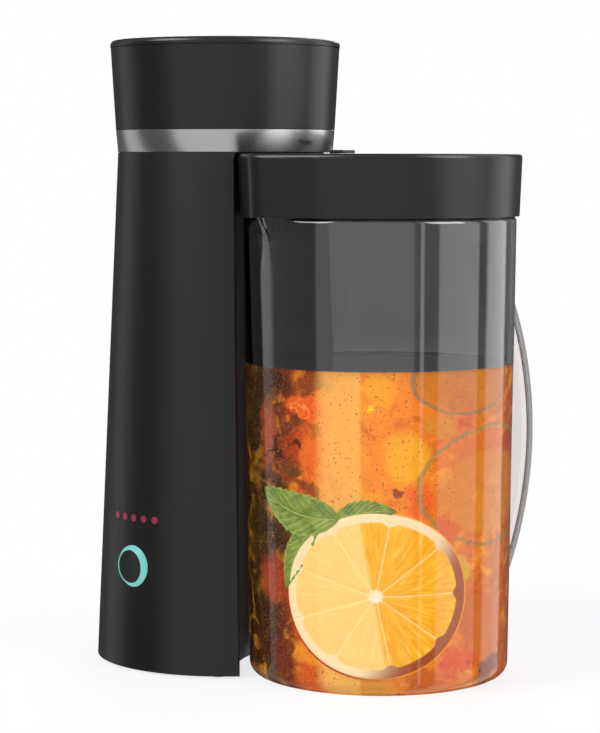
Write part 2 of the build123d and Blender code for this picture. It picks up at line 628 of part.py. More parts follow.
def heater_bracket():
    """Bent steel strap that holds the heater down and carries its thermostat."""
    half = BRACKET_WIDTH / 2
    x_range = (HEATER_CENTRE - half, HEATER_CENTRE + half)
    top = BRACKET_LOW + BRACKET_SHEET
    strap = block(x_range, (-BRACKET_LEG_Y, BRACKET_LEG_Y), (BRACKET_LOW, top))
    for side in (1, -1):
        leg = sorted((side * BRACKET_LEG_Y, side * (BRACKET_LEG_Y - BRACKET_SHEET)))
        foot = sorted((side * (BRACKET_LEG_Y - BRACKET_SHEET), side * (BRACKET_LEG_Y + 11)))
        strap += block(x_range, leg, (BRACKET_FOOT_LOW, top))
        strap += block(x_range, foot, (BRACKET_FOOT_LOW, BRACKET_FOOT_LOW + BRACKET_SHEET))
    for y in BRACKET_SCREW_YS:
        strap -= upright(SCREW_RADIUS + 0.2, BRACKET_FOOT_LOW - 1, BRACKET_FOOT_LOW + 4,
                         HEATER_CENTRE, y)
    return NEST_TURN * strap


def heater_screws():
    """Two screws that hold the heater bracket to the base plate."""
    top = BRACKET_FOOT_LOW + BRACKET_SHEET + 0.05
    return group([NEST_TURN * Pos(HEATER_CENTRE, y, top) * Rot(180, 0, 0) * screw(6)
                  for y in BRACKET_SCREW_YS])


def thermostat():
    """Round bimetal thermostat on the heater bracket, with its two tabs."""
    low = BRACKET_LOW + BRACKET_SHEET + 0.1
    body = upright(8.0, low, low + 2, HEATER_CENTRE) + upright(6.6, low, low + 7, HEATER_CENTRE)
    for side in (1, -1):
        body += block((HEATER_CENTRE - 2, HEATER_CENTRE + 2), sorted((side * 5.5, side * 11)),
                      (low + 5.2, low + 6.0))
    return NEST_TURN * body


def thermal_fuse():
    """Thermal fuse lying in its clip beside the thermostat."""
    low = BRACKET_LOW + BRACKET_SHEET + 0.1
    body = Pos(HEATER_CENTRE, HEATER_BEND - 2, low + 2.2) * Rot(0, 90, 0) * Cylinder(2.0, 11)
    clip = block((HEATER_CENTRE - 3, HEATER_CENTRE + 3),
                 (HEATER_BEND - 4.6, HEATER_BEND + 0.6), (low, low + 1.6))
    return NEST_TURN * (body + clip)


def outlet_nozzle():
    """Shower nozzle flush in the head's floor, above the pitcher lid's inlet."""
    low, floor = NECK_HEIGHT + 0.2, NECK_HEIGHT + HEAD_FLOOR
    body = upright(NOZZLE_RADIUS, low, floor + 0.5)
    body += upright(NOZZLE_RADIUS + 1.2, floor + 0.1, floor + 1.7)
    body += upright(NOZZLE_STEM_RADIUS, floor + 1, floor + 11)
    body -= upright(NOZZLE_STEM_RADIUS - 1, low + 1.2, floor + 12)
    body -= upright(NOZZLE_RADIUS - 1.6, low + 1.2, floor)
    spots = [Pos(0, 0)] + list(PolarLocations(3.4, 6))
    for spot in spots:
        body -= spot * upright(NOZZLE_HOLE_RADIUS, low - 1, low + 2)
    return NEST_TURN * Pos(NOZZLE_REACH, 0, 0) * body


def lead(points):
    """Sleeved wire along straight runs joined by small arcs, in the frame of the nest axis."""
    path = FilletPolyline(*points, radius=LEAD_BEND)
    return NEST_TURN * sweep(Plane(path @ 0, z_dir=path % 0) * Circle(LEAD_RADIUS), path)


def in_nest_frame(x, y, z):
    """Point of the tower's own frame, written in the frame of the nest axis."""
    radius, bearing = math.hypot(x, y), math.degrees(math.atan2(y, x))
    return (*polar(radius, bearing - NEST_BEARING), z)


def leads():
    """Wires from the cord's gland to the relay, and from there round the heater's circuit."""
    tab_end, element_z = HEATER_END + 0.25 + 12, HEATER_HEIGHT - ELEMENT_DROP
    relay_face = BOARD_FACE + BOARD_THICKNESS + 0.05 + RELAY_DEPTH + 0.1
    relay_z = BOARD_LOW + 8
    sheet_top = BRACKET_LOW + BRACKET_SHEET + 0.1
    fuse_z, tab_z = sheet_top + 2.2, sheet_top + 5.6
    near, far = -HEATER_BEND, HEATER_BEND
    behind = HEATER_CENTRE - 12
    runs = [[in_nest_frame(x, *place) for place in (
        (GLAND_FACE - 8, GLAND_HEIGHT), (GLAND_FACE - 18, GLAND_HEIGHT),
        (GLAND_FACE - 26, BASE_TOP + 6), (relay_face + 9, BASE_TOP + 6),
        (relay_face + 9, relay_z - 2), (relay_face, relay_z - 2))] for x in (-1.3, 1.3)]
    runs.append([(tab_end, near, element_z), (5, near, element_z), (5, near - 10, element_z),
                 in_nest_frame(6, relay_face + 8, relay_z + 2),
                 in_nest_frame(6, relay_face, relay_z + 2)])
    runs.append([(tab_end, far, element_z), (5, far, element_z), (5, far / 2, element_z),
                 (HEATER_END, far / 2, element_z), (HEATER_END, far / 2, fuse_z),
                 (HEATER_END, far - 2, fuse_z), (HEATER_CENTRE + 5.7, far - 2, fuse_z)])
    runs.append([(HEATER_CENTRE - 5.7, far - 2, fuse_z), (behind, far - 2, fuse_z),
                 (behind, far + 5, tab_z), (HEATER_CENTRE, far + 5, tab_z),
                 (HEATER_CENTRE, 11.2, tab_z)])
    runs.append([(HEATER_CENTRE, -11.2, tab_z), (HEATER_CENTRE, near - 8, tab_z),
                 in_nest_frame(-15, BOARD_FACE + BOARD_THICKNESS + 0.3, tab_z)])
    return group([lead(run) for run in runs])


# ------------------------------------------------------------------ control parts
def control_board():
    """Circuit board behind the button and the lamps."""
    board = block((-BOARD_WIDTH / 2, BOARD_WIDTH / 2), (BOARD_FACE, BOARD_FACE + BOARD_THICKNESS),
                  (BOARD_LOW, BOARD_HIGH))
    for x, z in BOARD_POSTS:
        board -= along_y(1.5, BOARD_FACE - 1, BOARD_FACE + 3, x, z)
    for x in LAMP_XS:
        board += block((x - 1.4, x + 1.4), (BOARD_FACE - 0.9, BOARD_FACE + 0.1),
                       (LAMP_HEIGHT - 1.4, LAMP_HEIGHT + 1.4))
    return board


def board_screws():
    """Four screws that hold the board to the casing's posts."""
    face = BOARD_FACE + BOARD_THICKNESS + 0.05
    one = Cylinder(1.25, BOARD_SCREW_LENGTH, align=UP)
    one += Pos(0, 0, -1.5) * Cylinder(2.4, 1.5, align=UP)
    return group([Pos(x, face, z) * Rot(90, 0, 0) * one for x, z in BOARD_POSTS])


def relay():
    """Relay that switches the heater, on the board's back."""
    low = BOARD_FACE + BOARD_THICKNESS + 0.05
    can = block((-9.5, 9.5), (low, low + RELAY_DEPTH), (BOARD_LOW + 2, BOARD_LOW + 17))
    return fillet(can.edges().group_by(Axis.Y)[-1], 0.8)


def tact_switch():
    """Small switch that the power button presses."""
    body = block((-3, 3), (BOARD_FACE - 2.6, BOARD_FACE - 0.05),
                 (BUTTON_HEIGHT - 3, BUTTON_HEIGHT + 3))
    return body + along_y(1.7, BOARD_FACE - 3.2, BOARD_FACE - 2.5, 0, BUTTON_HEIGHT)


def light_ring():
    """Lit ring round the power button, with a flange behind the casing's seat."""
    front = BUTTON_FACE - RING_RISE
    flank = Pos(0, BUTTON_FACE, BUTTON_HEIGHT) * Rot(90, 0, 0) * Cone(
        RING_OUTER_RADIUS, RING_BORE + 0.25, RING_RISE, align=UP)
    barrel = along_y(RING_OUTER_RADIUS, BUTTON_FACE, BUTTON_SEAT + 0.5, 0, BUTTON_HEIGHT)
    flange = along_y(RING_OUTER_RADIUS + 1.8, BUTTON_SEAT + 0.2, RING_FLANGE_BACK, 0, BUTTON_HEIGHT)
    bore = along_y(RING_BORE, front - 1, RING_FLANGE_BACK + 1, 0, BUTTON_HEIGHT)
    return flank + barrel + flange - bore


def button_cap():
    """Power button: a shallow dished cap with a stem for the switch and a stop flange."""
    front = BUTTON_FACE - RING_RISE
    flange_front = RING_FLANGE_BACK + 0.15
    cap = along_y(CAP_RADIUS, front, flange_front + 0.5, 0, BUTTON_HEIGHT)
    cap = fillet(cap.edges().group_by(Axis.Y)[0], 0.5)
    cap += along_y(CAP_RADIUS + 1.2, flange_front, flange_front + 1, 0, BUTTON_HEIGHT)
    cap -= along_y(CAP_RADIUS - 1.6, front + 1.6, flange_front + 3, 0, BUTTON_HEIGHT)
    dish_radius = 60.0
    dish_depth = 0.35
    cap -= Pos(0, front + dish_depth - dish_radius, BUTTON_HEIGHT) * Sphere(dish_radius)
    stem_end = BOARD_FACE - 3.2 - CAP_TRAVEL - 0.2
    return cap + along_y(1.8, front + 1, stem_end, 0, BUTTON_HEIGHT)


def button_spring():
    """Compression spring between the board and the button cap."""
    start = BUTTON_FACE - RING_RISE + 1.6 + SPRING_WIRE + 0.1
    length = BOARD_FACE - SPRING_WIRE - 0.1 - start
    coil = Helix(pitch=length / SPRING_TURNS, height=length, radius=SPRING_RADIUS)
    wire = sweep(Plane(coil @ 0, z_dir=coil % 0) * Circle(SPRING_WIRE), coil, is_frenet=True)
    return Pos(0, start, BUTTON_HEIGHT) * Rot(-90, 0, 0) * wire


def light_pipe():
    """Clear strip whose five pins show as the row of indicator lamps."""
    bar_back = BOARD_FACE - 2.4
    bar_front = bar_back - 2.0
    half = LAMP_XS[-1] + 3.8
    strip = block((-half, half), (bar_front, bar_back), (LAMP_HEIGHT - 1.5, LAMP_HEIGHT + 1.5))
    for x in LAMP_XS:
        pin = along_y(LAMP_RADIUS, BUTTON_FACE - 3, bar_front + 0.5, x, LAMP_HEIGHT)
        strip += pin & tower_cone(-0.25, LAMP_HEIGHT - 10, LAMP_HEIGHT + 10)
    for side in (1, -1):
        leg_x = sorted((side * half, side * (half - 2)))
        strip += block(leg_x, (bar_back - 0.5, BOARD_FACE - 0.1),
                       (LAMP_HEIGHT - 1.5, LAMP_HEIGHT + 1.5))
    return strip


def cord_gland():
    """Rubber gland low on the back that the mains cord passes through."""
    flange = GLAND_RADIUS + 1.6
    outer_face = tower_radius(GLAND_HEIGHT - flange) + 0.1
    inner_face = GLAND_FACE - CASING_WALL - 0.8
    body = along_y(GLAND_RADIUS, inner_face - 1, outer_face + 1, 0, GLAND_HEIGHT)
    body += along_y(flange, outer_face, outer_face + 1.5, 0, GLAND_HEIGHT)
    body += along_y(flange, inner_face - 2, inner_face, 0, GLAND_HEIGHT)
    body = fillet(body.edges().group_by(Axis.Y)[-1], 0.6)
    return body - along_y(GLAND_BORE, inner_face - 4, outer_face + 4, 0, GLAND_HEIGHT)


# ------------------------------------------------------------------ pitcher: jug
def spout_section(z, reach, shrink):
    """Kite-shaped slice of the spout at a height, tangent to the jug, pulled in by shrink."""
    radius = (jug_radius(z) if z < NECK_STEP_HEIGHT else JUG_NECK_RADIUS) - shrink
    ridge = jug_radius(z) + reach - shrink
    half_angle = math.acos(radius / ridge) + 0.02
    side = radius - 0.12
    x, y = side * math.cos(half_angle), side * math.sin(half_angle)
    tip = 0.985 * ridge + 0.015 * x
    blunt = 0.015 * y
    outline = Polyline((x, -y), (tip, -blunt), (tip, blunt), (x, y), close=True)
    return Plane.XY.offset(z) * make_face(outline)


def spout(shrink, top):
    """Spout fold: a ridge that ramps out of the wall and runs up to the rim."""
    low = JUG_RIM - SPOUT_DROP + 1.2 * shrink
    steps = (0.03, 0.12, 0.3, 0.55, 0.8, 1.0)
    sections = [spout_section(low + SPOUT_RAMP * step, SPOUT_REACH * step, shrink)
                for step in steps]
    sections.append(spout_section(top, SPOUT_REACH, shrink))
    return Rot(0, 0, SPOUT_BEARING) * loft(sections, ruled=True)


def handle_strap():
    """Flat strap handle on one long arc, its ends buried in the jug's wall."""
    end_radius = JUG_FOOT_RADIUS - JUG_WALL - 1.0
    stand_off = HANDLE_REACH - HANDLE_THICKNESS / 2 - end_radius
    bow = (HANDLE_HALF_SPAN ** 2 + stand_off ** 2) / (2 * stand_off)
    centre = end_radius + stand_off - bow
    swing = math.degrees(math.asin(HANDLE_HALF_SPAN / bow))
    path = Plane.XZ * Pos(centre, HANDLE_HEIGHT) * CenterArc((0, 0), bow, -swing, 2 * swing)
    strap = RectangleRounded(HANDLE_THICKNESS, HANDLE_WIDTH, 1.2)
    plane = Plane(path @ 0, x_dir=Vector(0, 1, 0).cross(path % 0), z_dir=path % 0)
    return Rot(0, 0, HANDLE_BEARING) * sweep(plane * strap, path)


def jug():
    """Clear jug with a stepped neck, a folded spout and a strap handle in one moulding."""
    shoulder = NECK_STEP_HEIGHT - 1.6
    ring = JUG_FOOT_RADIUS - JUG_RING_WIDTH
    outline = make_face(Polyline(
        (0, JUG_RING_HEIGHT), (ring - 1, JUG_RING_HEIGHT), (ring, 0), (jug_radius(0), 0),
        (JUG_SHOULDER_RADIUS, shoulder), (JUG_NECK_RADIUS, NECK_STEP_HEIGHT),
        (JUG_NECK_RADIUS, JUG_RIM), (0, JUG_RIM), close=True))
    foot = outline.vertices().sort_by(Axis.Y)[0:2].sort_by(Axis.X)[-1]
    body = revolve(Plane.XZ * fillet(foot, JUG_FOOT_ROUND), axis=Axis.Z)
    hollow = make_face(Polyline(
        (0, JUG_FLOOR), (jug_radius(JUG_FLOOR) - JUG_WALL, JUG_FLOOR),
        (JUG_SHOULDER_RADIUS - JUG_WALL, shoulder - 1), (JUG_NECK_BORE, NECK_STEP_HEIGHT - 0.4),
        (JUG_NECK_BORE, JUG_RIM + 1), (0, JUG_RIM + 1), close=True))
    corner = hollow.vertices().sort_by(Axis.Y)[0:2].sort_by(Axis.X)[-1]
    cavity = revolve(Plane.XZ * fillet(corner, JUG_FOOT_ROUND - JUG_WALL), axis=Axis.Z)
    body += spout(0, JUG_RIM)
    body += handle_strap()
    return PITCHER_PLACE * (body - cavity - spout(JUG_WALL, JUG_RIM + 1))


# ------------------------------------------------------------------ pitcher: lid
def lid_plan(shrink):
    """Plan of the pitcher lid at its skirt: a circle drawn out to a nose over the spout."""
    tip = LID_NOSE_REACH - (LID_RADIUS - LID_SKIRT_RADIUS) - LID_NOSE_RADIUS
    edges = Circle(LID_SKIRT_RADIUS - shrink).edges()
    edges += (Pos(tip, 0) * Circle(LID_NOSE_RADIUS - shrink)).edges()
    return Rot(0, 0, SPOUT_BEARING) * make_hull(edges)


def lid_solid(shrink, low, high):
    """Drafted solid of the lid's outline between two heights."""
    spread = (low - LID_SKIRT_LOW) * math.tan(math.radians(LID_DRAFT))
    return extrude(Plane.XY.offset(low) * lid_plan(shrink - spread), high - low, taper=-LID_DRAFT)


def flap_disc(grow, low, high):
    """Disc of the flap, cut off square before the hinge, with extra radius."""
    disc = upright(FLAP_RADIUS + grow, low, high, FLAP_OFFSET)
    edge = FLAP_AXIS_X - FLAP_CHORD + grow
    return disc - block((edge, edge + 60), (-60, 60), (low - 1, high + 1))


HINGE_POCKET_HALF = FLAP_KNUCKLE_LENGTH / 2 + 0.4
HINGE_POCKET = (FLAP_AXIS_X - FLAP_CHORD - 2.0, FLAP_AXIS_X + 3.2)
HINGE_POCKET_FLOOR = FLAP_AXIS_Z - FLAP_KNUCKLE_RADIUS - 0.4
HINGE_POCKET_WALL = 1.8
SWING_NOTCH_HALF = HINGE_POCKET_HALF + 6.5      # room for the disc's shoulders as it opens
BASKET_LUG_HALF = 8.0


def strainer_comb():
    """Slotted wall below the plug that holds the ice back from the spout."""
    low = PLUG_LOW - COMB_DROP
    ring = collar(PLUG_RADIUS, PLUG_BORE, low, PLUG_LOW + 0.5)
    reach = 2 * PLUG_RADIUS
    spread = math.radians(COMB_SPREAD)
    wedge = make_face(Polyline((0, 0), (reach, -reach * math.tan(spread)),
                               (reach, reach * math.tan(spread)), close=True))
    comb = ring & Pos(0, 0, low - 1) * extrude(wedge, COMB_DROP + 3)
    pitch = 2 * COMB_SPREAD / (COMB_SLOTS + 1)
    for i in range(COMB_SLOTS):
        bearing = pitch * (i + 1) - COMB_SPREAD
        slot = block((PLUG_BORE - 2, PLUG_RADIUS + 2),
                     (-COMB_SLOT_WIDTH / 2, COMB_SLOT_WIDTH / 2), (low + 2.5, PLUG_LOW - 1.5))
        comb -= Rot(0, 0, bearing) * slot
    return Rot(0, 0, SPOUT_BEARING) * comb


def pitcher_lid():
    """Deep lid with a nose over the spout, a plug ring, a flap opening and a water inlet."""
    lid = lid_solid(0, LID_SKIRT_LOW, LID_TOP)
    lid = fillet(lid.edges().group_by(Axis.Z)[-1], LID_EDGE_ROUND)
    lid -= lid_solid(LID_SKIRT_WALL, LID_SKIRT_LOW - 1, LID_UNDERSIDE)
    lid += collar(PLUG_RADIUS, PLUG_BORE, PLUG_LOW, LID_UNDERSIDE + 0.5)
    rib = block((PLUG_RADIUS - 0.5, LID_SKIRT_RADIUS - 0.8), (-LID_RIB_WIDTH / 2, LID_RIB_WIDTH / 2),
                (JUG_RIM + SEAT_GAP, LID_UNDERSIDE + 0.5))
    for i in range(LID_RIB_COUNT):
        lid += Rot(0, 0, SPOUT_BEARING + 15 + 360 / LID_RIB_COUNT * i) * rib
    seat_radius = FLAP_RADIUS - FLAP_SEAT
    seat_low = LID_UNDERSIDE - 1.9
    lid += upright(FLAP_RADIUS + 2.5, seat_low, LID_UNDERSIDE + 0.2, FLAP_OFFSET)
    pocket_back = HINGE_POCKET[0] - HINGE_POCKET_WALL
    lid += block((pocket_back, HINGE_POCKET[1] + HINGE_POCKET_WALL),
                 (-HINGE_POCKET_HALF - 3, HINGE_POCKET_HALF + 3),
                 (HINGE_POCKET_FLOOR - 1.6, LID_UNDERSIDE + 0.5))
    lid -= flap_disc(FLAP_GAP, FLAP_LOW - 0.2, LID_TOP + 1)
    lid -= block((HINGE_POCKET[0] - 3, FLAP_AXIS_X - FLAP_CHORD + 1),
                 (-SWING_NOTCH_HALF, SWING_NOTCH_HALF), (FLAP_LOW - 0.2, LID_TOP + 1))
    lid -= (upright(seat_radius, seat_low - 3, LID_TOP + 1, FLAP_OFFSET)
            - block((pocket_back, BEYOND), (-BEYOND, BEYOND), (0, BEYOND)))
    lid -= block(HINGE_POCKET, (-HINGE_POCKET_HALF, HINGE_POCKET_HALF),
                 (HINGE_POCKET_FLOOR, LID_TOP + 1))
    lid -= flap_axle(FLAP_HINGE_PIN_RADIUS + PRESS_CLEARANCE, FLAP_PIN_LENGTH + 0.4)
    groove_low = LID_TOP - SEAL_DEPTH - SEAL_HEIGHT
    lid -= collar(PLUG_RADIUS + 1, PLUG_RADIUS - 1, groove_low, groove_low + SEAL_HEIGHT)
    lugs = collar(PLUG_BORE + 0.3, PLUG_BORE - BASKET_FLANGE, PLUG_LOW, PLUG_LOW + BASKET_FLANGE)
    inlet_x = NOZZLE_REACH - NEST_DISTANCE
    for i in range(BASKET_LUGS):
        sector = Rot(0, 0, 60 + 360 / BASKET_LUGS * i) * block(
            (PLUG_BORE / 2, BEYOND), (-BASKET_LUG_HALF, BASKET_LUG_HALF), (0, BEYOND))
        lid += lugs & sector
    lid += strainer_comb()
    lid -= Pos(inlet_x, 0, 0) * frustum(INLET_RADIUS - 0.5, INLET_RADIUS + 2.5,
                                         LID_UNDERSIDE - 0.1, LID_TOP + 0.1)
    return PITCHER_PLACE * lid


def flap_axle(radius, length):
    """Cylinder on the flap's hinge axis."""
    return Pos(FLAP_AXIS_X, 0, FLAP_AXIS_Z) * Rot(90, 0, 0) * Cylinder(radius, length)


def lid_flap():
    """Round flap for ice and tea bags, with a thumb tab and a hinge knuckle."""
    flap = flap_disc(0, FLAP_LOW, LID_TOP)
    knuckle = flap_axle(FLAP_KNUCKLE_RADIUS, FLAP_KNUCKLE_LENGTH)
    half = FLAP_KNUCKLE_LENGTH / 2
    arm = block((FLAP_AXIS_X - FLAP_CHORD - 2, FLAP_AXIS_X), (-half, half),
                (FLAP_AXIS_Z, FLAP_AXIS_Z + FLAP_KNUCKLE_RADIUS))
    tab = Pos(FLAP_TAB_OFFSET, 0, LID_TOP - 0.5) * Box(
        FLAP_TAB_LENGTH, FLAP_TAB_WIDTH, FLAP_TAB_RISE + 0.5, align=UP)
    tab = fillet(tab.edges().filter_by(Axis.Z), 2.0)
    tab = fillet(tab.edges().group_by(Axis.Z)[-1], 0.7)
    flap += knuckle + arm + tab
    bore = flap_axle(FLAP_HINGE_PIN_RADIUS + PIN_CLEARANCE, FLAP_PIN_LENGTH)
    return PITCHER_PLACE * (flap - bore)


def flap_hinge_pin():
    """Steel pin of the flap's hinge."""
    return PITCHER_PLACE * flap_axle(FLAP_HINGE_PIN_RADIUS, FLAP_PIN_LENGTH)


def lid_seal():
    """Silicone seal with two lips in the plug's groove."""
    low = LID_TOP - SEAL_DEPTH - SEAL_HEIGHT
    inner, back, lip = PLUG_RADIUS - 0.95, PLUG_RADIUS - 0.05, JUG_NECK_BORE - 0.15
    seal = turned([
        (inner, low + 0.05), (back, low + 0.05), (lip, low + 0.5), (lip, low + 0.9),
        (back + 0.1, low + 1.2), (back + 0.1, low + 1.8), (lip, low + 2.1), (lip, low + 2.5),
        (back, low + SEAL_HEIGHT - 0.05), (inner, low + SEAL_HEIGHT - 0.05)])
    return PITCHER_PLACE * seal


# ------------------------------------------------------------------ pitcher: brew basket
def basket_radius(z):
    """Outer radius of the basket's wall at a height."""
    share = (z - BASKET_LOW) / BASKET_DEPTH
    return BASKET_FOOT_RADIUS + BASKET_TAPER * share


def brew_basket():
    """Deep basket for tea that hangs on three lugs of the lid."""
    basket = frustum(BASKET_FOOT_RADIUS, BASKET_RADIUS, BASKET_LOW, BASKET_TOP)
    flange = collar(PLUG_BORE - 0.4, BASKET_RADIUS - 1, BASKET_FLANGE_LOW, BASKET_TOP)
    for i in range(BASKET_LUGS):
        flange -= Rot(0, 0, 360 / BASKET_LUGS * i) * block(
            (BASKET_RADIUS + 0.2, BEYOND), (-BASKET_LUG_HALF - 1, BASKET_LUG_HALF + 1),
            (0, BEYOND))
    basket += flange
    basket -= frustum(BASKET_FOOT_RADIUS - BASKET_WALL, BASKET_RADIUS - BASKET_WALL,
                      BASKET_LOW + BASKET_WALL, BASKET_TOP + 0.01)
    opening = upright(BASKET_FLOOR_OPENING, BASKET_LOW - 1, BASKET_LOW + 3)
    half_spoke = BASKET_SPOKE_WIDTH / 2
    spokes = upright(BASKET_HUB_RADIUS, 0, BEYOND)
    spokes += block((-BEYOND, BEYOND), (-half_spoke, half_spoke), (0, BEYOND))
    spokes += block((-half_spoke, half_spoke), (-BEYOND, BEYOND), (0, BEYOND))
    basket -= opening - spokes
    slot_low = BASKET_LOW + 5
    slot = block((BASKET_FOOT_RADIUS - 4, BASKET_RADIUS + 2),
                 (-BASKET_SLOT_WIDTH / 2, BASKET_SLOT_WIDTH / 2),
                 (slot_low, slot_low + BASKET_SLOT_HEIGHT))
    for i in range(BASKET_SLOT_COUNT):
        basket -= Rot(0, 0, 360 / BASKET_SLOT_COUNT * (i + 0.5)) * slot
    return PITCHER_PLACE * basket


def basket_mesh():
    """Perforated filter disc lying on the basket's floor."""
    radius = BASKET_FOOT_RADIUS - BASKET_WALL - 0.5
    count = int(2 * radius / MESH_PITCH)
    holes = [place for place in GridLocations(MESH_PITCH, MESH_PITCH, count, count)
             if place.position.length < BASKET_FLOOR_OPENING - MESH_HOLE]
    disc = Circle(radius) - [place * Rectangle(MESH_HOLE, MESH_HOLE) for place in holes]
    low = BASKET_LOW + BASKET_WALL + 0.1
    return PITCHER_PLACE * Pos(0, 0, low) * extrude(disc, MESH_THICKNESS)


# ------------------------------------------------------------------ assembly
def build():
    """All nodes by name, drawn about the tower's axis."""
    makers = [
        tower_shell, base_plate, rubber_feet, base_screws, trim_band, head_shell, head_deck,
        tower_lid, lid_hinge_pin, water_tank, tank_seal, check_valve, inlet_hose,
        riser_tube, heater_tube, heater_terminals, heater_bracket, heater_screws, thermostat,
        thermal_fuse, leads, outlet_nozzle, control_board, board_screws, relay, tact_switch,
        light_ring,
        button_cap, button_spring, light_pipe, cord_gland, jug, pitcher_lid, lid_seal, lid_flap,
        flap_hinge_pin, brew_basket, basket_mesh]
    return {maker.__name__: maker() for maker in makers}


def main():
    """Build every node, move the origin under the whole and write one file per node."""
    nodes = build()
    box = Compound(children=[solid for part in nodes.values() for solid in part.solids()]
                   ).bounding_box()
    shift = Vector(-(box.min.X + box.max.X) / 2, -(box.min.Y + box.max.Y) / 2, -box.min.Z)
    os.makedirs("parts", exist_ok=True)
    for name, part in nodes.items():
        export_step(Pos(shift) * part, f"parts/{name}.step")
    nest_x, nest_y = polar(NEST_DISTANCE, NEST_BEARING)
    print("size", box.size)
    print("tower axis at", shift.X, shift.Y)
    print("pitcher axis at", shift.X + nest_x, shift.Y + nest_y)
    capacity = tank_plan(-TANK_WALL).area * (TANK_TOP - TANK_FLOOR_HEIGHT - 2)
    print("tank holds", round(capacity / 1e6, 2), "litres")


if __name__ == "__main__":
    main()
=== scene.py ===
"""Looks of an iced tea maker: a heating tower, and the lidded pitcher docked beside it.

Every length in the classes is in millimetres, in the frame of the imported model: +Z up, the table at
zero, the power button towards -Y. The Bench turns millimetres into Blender's metres.
"""

from __future__ import annotations

import logging
import math
from dataclasses import dataclass, field
from enum import Enum
from typing import Callable, Sequence

import bmesh
import bpy
from mathutils import Matrix, Vector

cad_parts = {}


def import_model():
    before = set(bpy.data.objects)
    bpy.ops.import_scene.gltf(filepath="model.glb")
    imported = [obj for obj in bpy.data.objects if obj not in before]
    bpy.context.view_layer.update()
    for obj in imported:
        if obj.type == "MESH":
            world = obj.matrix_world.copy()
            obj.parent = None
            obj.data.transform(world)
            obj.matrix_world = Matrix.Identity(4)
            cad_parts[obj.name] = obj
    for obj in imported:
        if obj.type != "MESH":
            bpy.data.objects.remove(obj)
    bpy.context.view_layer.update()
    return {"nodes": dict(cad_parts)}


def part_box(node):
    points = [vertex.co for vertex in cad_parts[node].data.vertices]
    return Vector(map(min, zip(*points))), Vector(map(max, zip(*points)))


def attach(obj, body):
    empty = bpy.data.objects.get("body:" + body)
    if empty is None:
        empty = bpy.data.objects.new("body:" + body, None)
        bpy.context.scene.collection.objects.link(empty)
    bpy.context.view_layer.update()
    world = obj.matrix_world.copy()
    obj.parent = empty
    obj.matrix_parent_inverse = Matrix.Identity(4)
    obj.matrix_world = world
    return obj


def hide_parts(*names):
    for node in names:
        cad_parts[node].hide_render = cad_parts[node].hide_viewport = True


MM = 0.001
BLACK = (0.0, 0.0, 0.0, 1.0)
WHITE = (1.0, 1.0, 1.0, 1.0)
# Share of a glowing food's colour kept from the lamps: a painted glow, as if lit from behind.
TEA_SHADE = 0.42
# Share of the lemon's colour that goes to the same painted glow.
FLESH_SHADE = 0.5
log = logging.getLogger("iced_tea_maker")

Point = tuple[float, float]
Place = tuple[float, float, float]
Shape = Callable[[Vector], Vector]
Test = Callable[[Vector, Vector], bool]


def hex_colour(code: str) -> tuple[float, float, float, float]:
    """Turn a written colour into the linear one that shaders take.

    Args:
        code: Colour as "#rrggbb".

    Returns:
        Linear red, green and blue, and an alpha of one.
    """
    shares = [int(code[i:i + 2], 16) / 255 for i in (1, 3, 5)]
    linear = [s / 12.92 if s <= 0.04045 else ((s + 0.055) / 1.055) ** 2.4 for s in shares]
    return (linear[0], linear[1], linear[2], 1.0)


def shade(code: str, factor: float) -> tuple[float, float, float, float]:
    """Return a written colour made darker or paler by a factor."""
    return tuple(value * factor for value in hex_colour(code)[:3]) + (1.0,)


def smooth(share: float) -> float:
    """Return an S-shaped share from 0 to 1."""
    held = min(1.0, max(0.0, share))
    return held * held * (3 - 2 * held)


class Pick(Enum):
    """What is picked in edit mode."""

    POINTS = "VERT"
    EDGES = "EDGE"
    FACES = "FACE"


class Body(Enum):
    """The parts of the maker that move as one."""

    TOWER = "tower"
    TOP_LID = "top_lid"
    BUTTON = "power_button"
    PITCHER = "pitcher"
    FLAP = "flap"


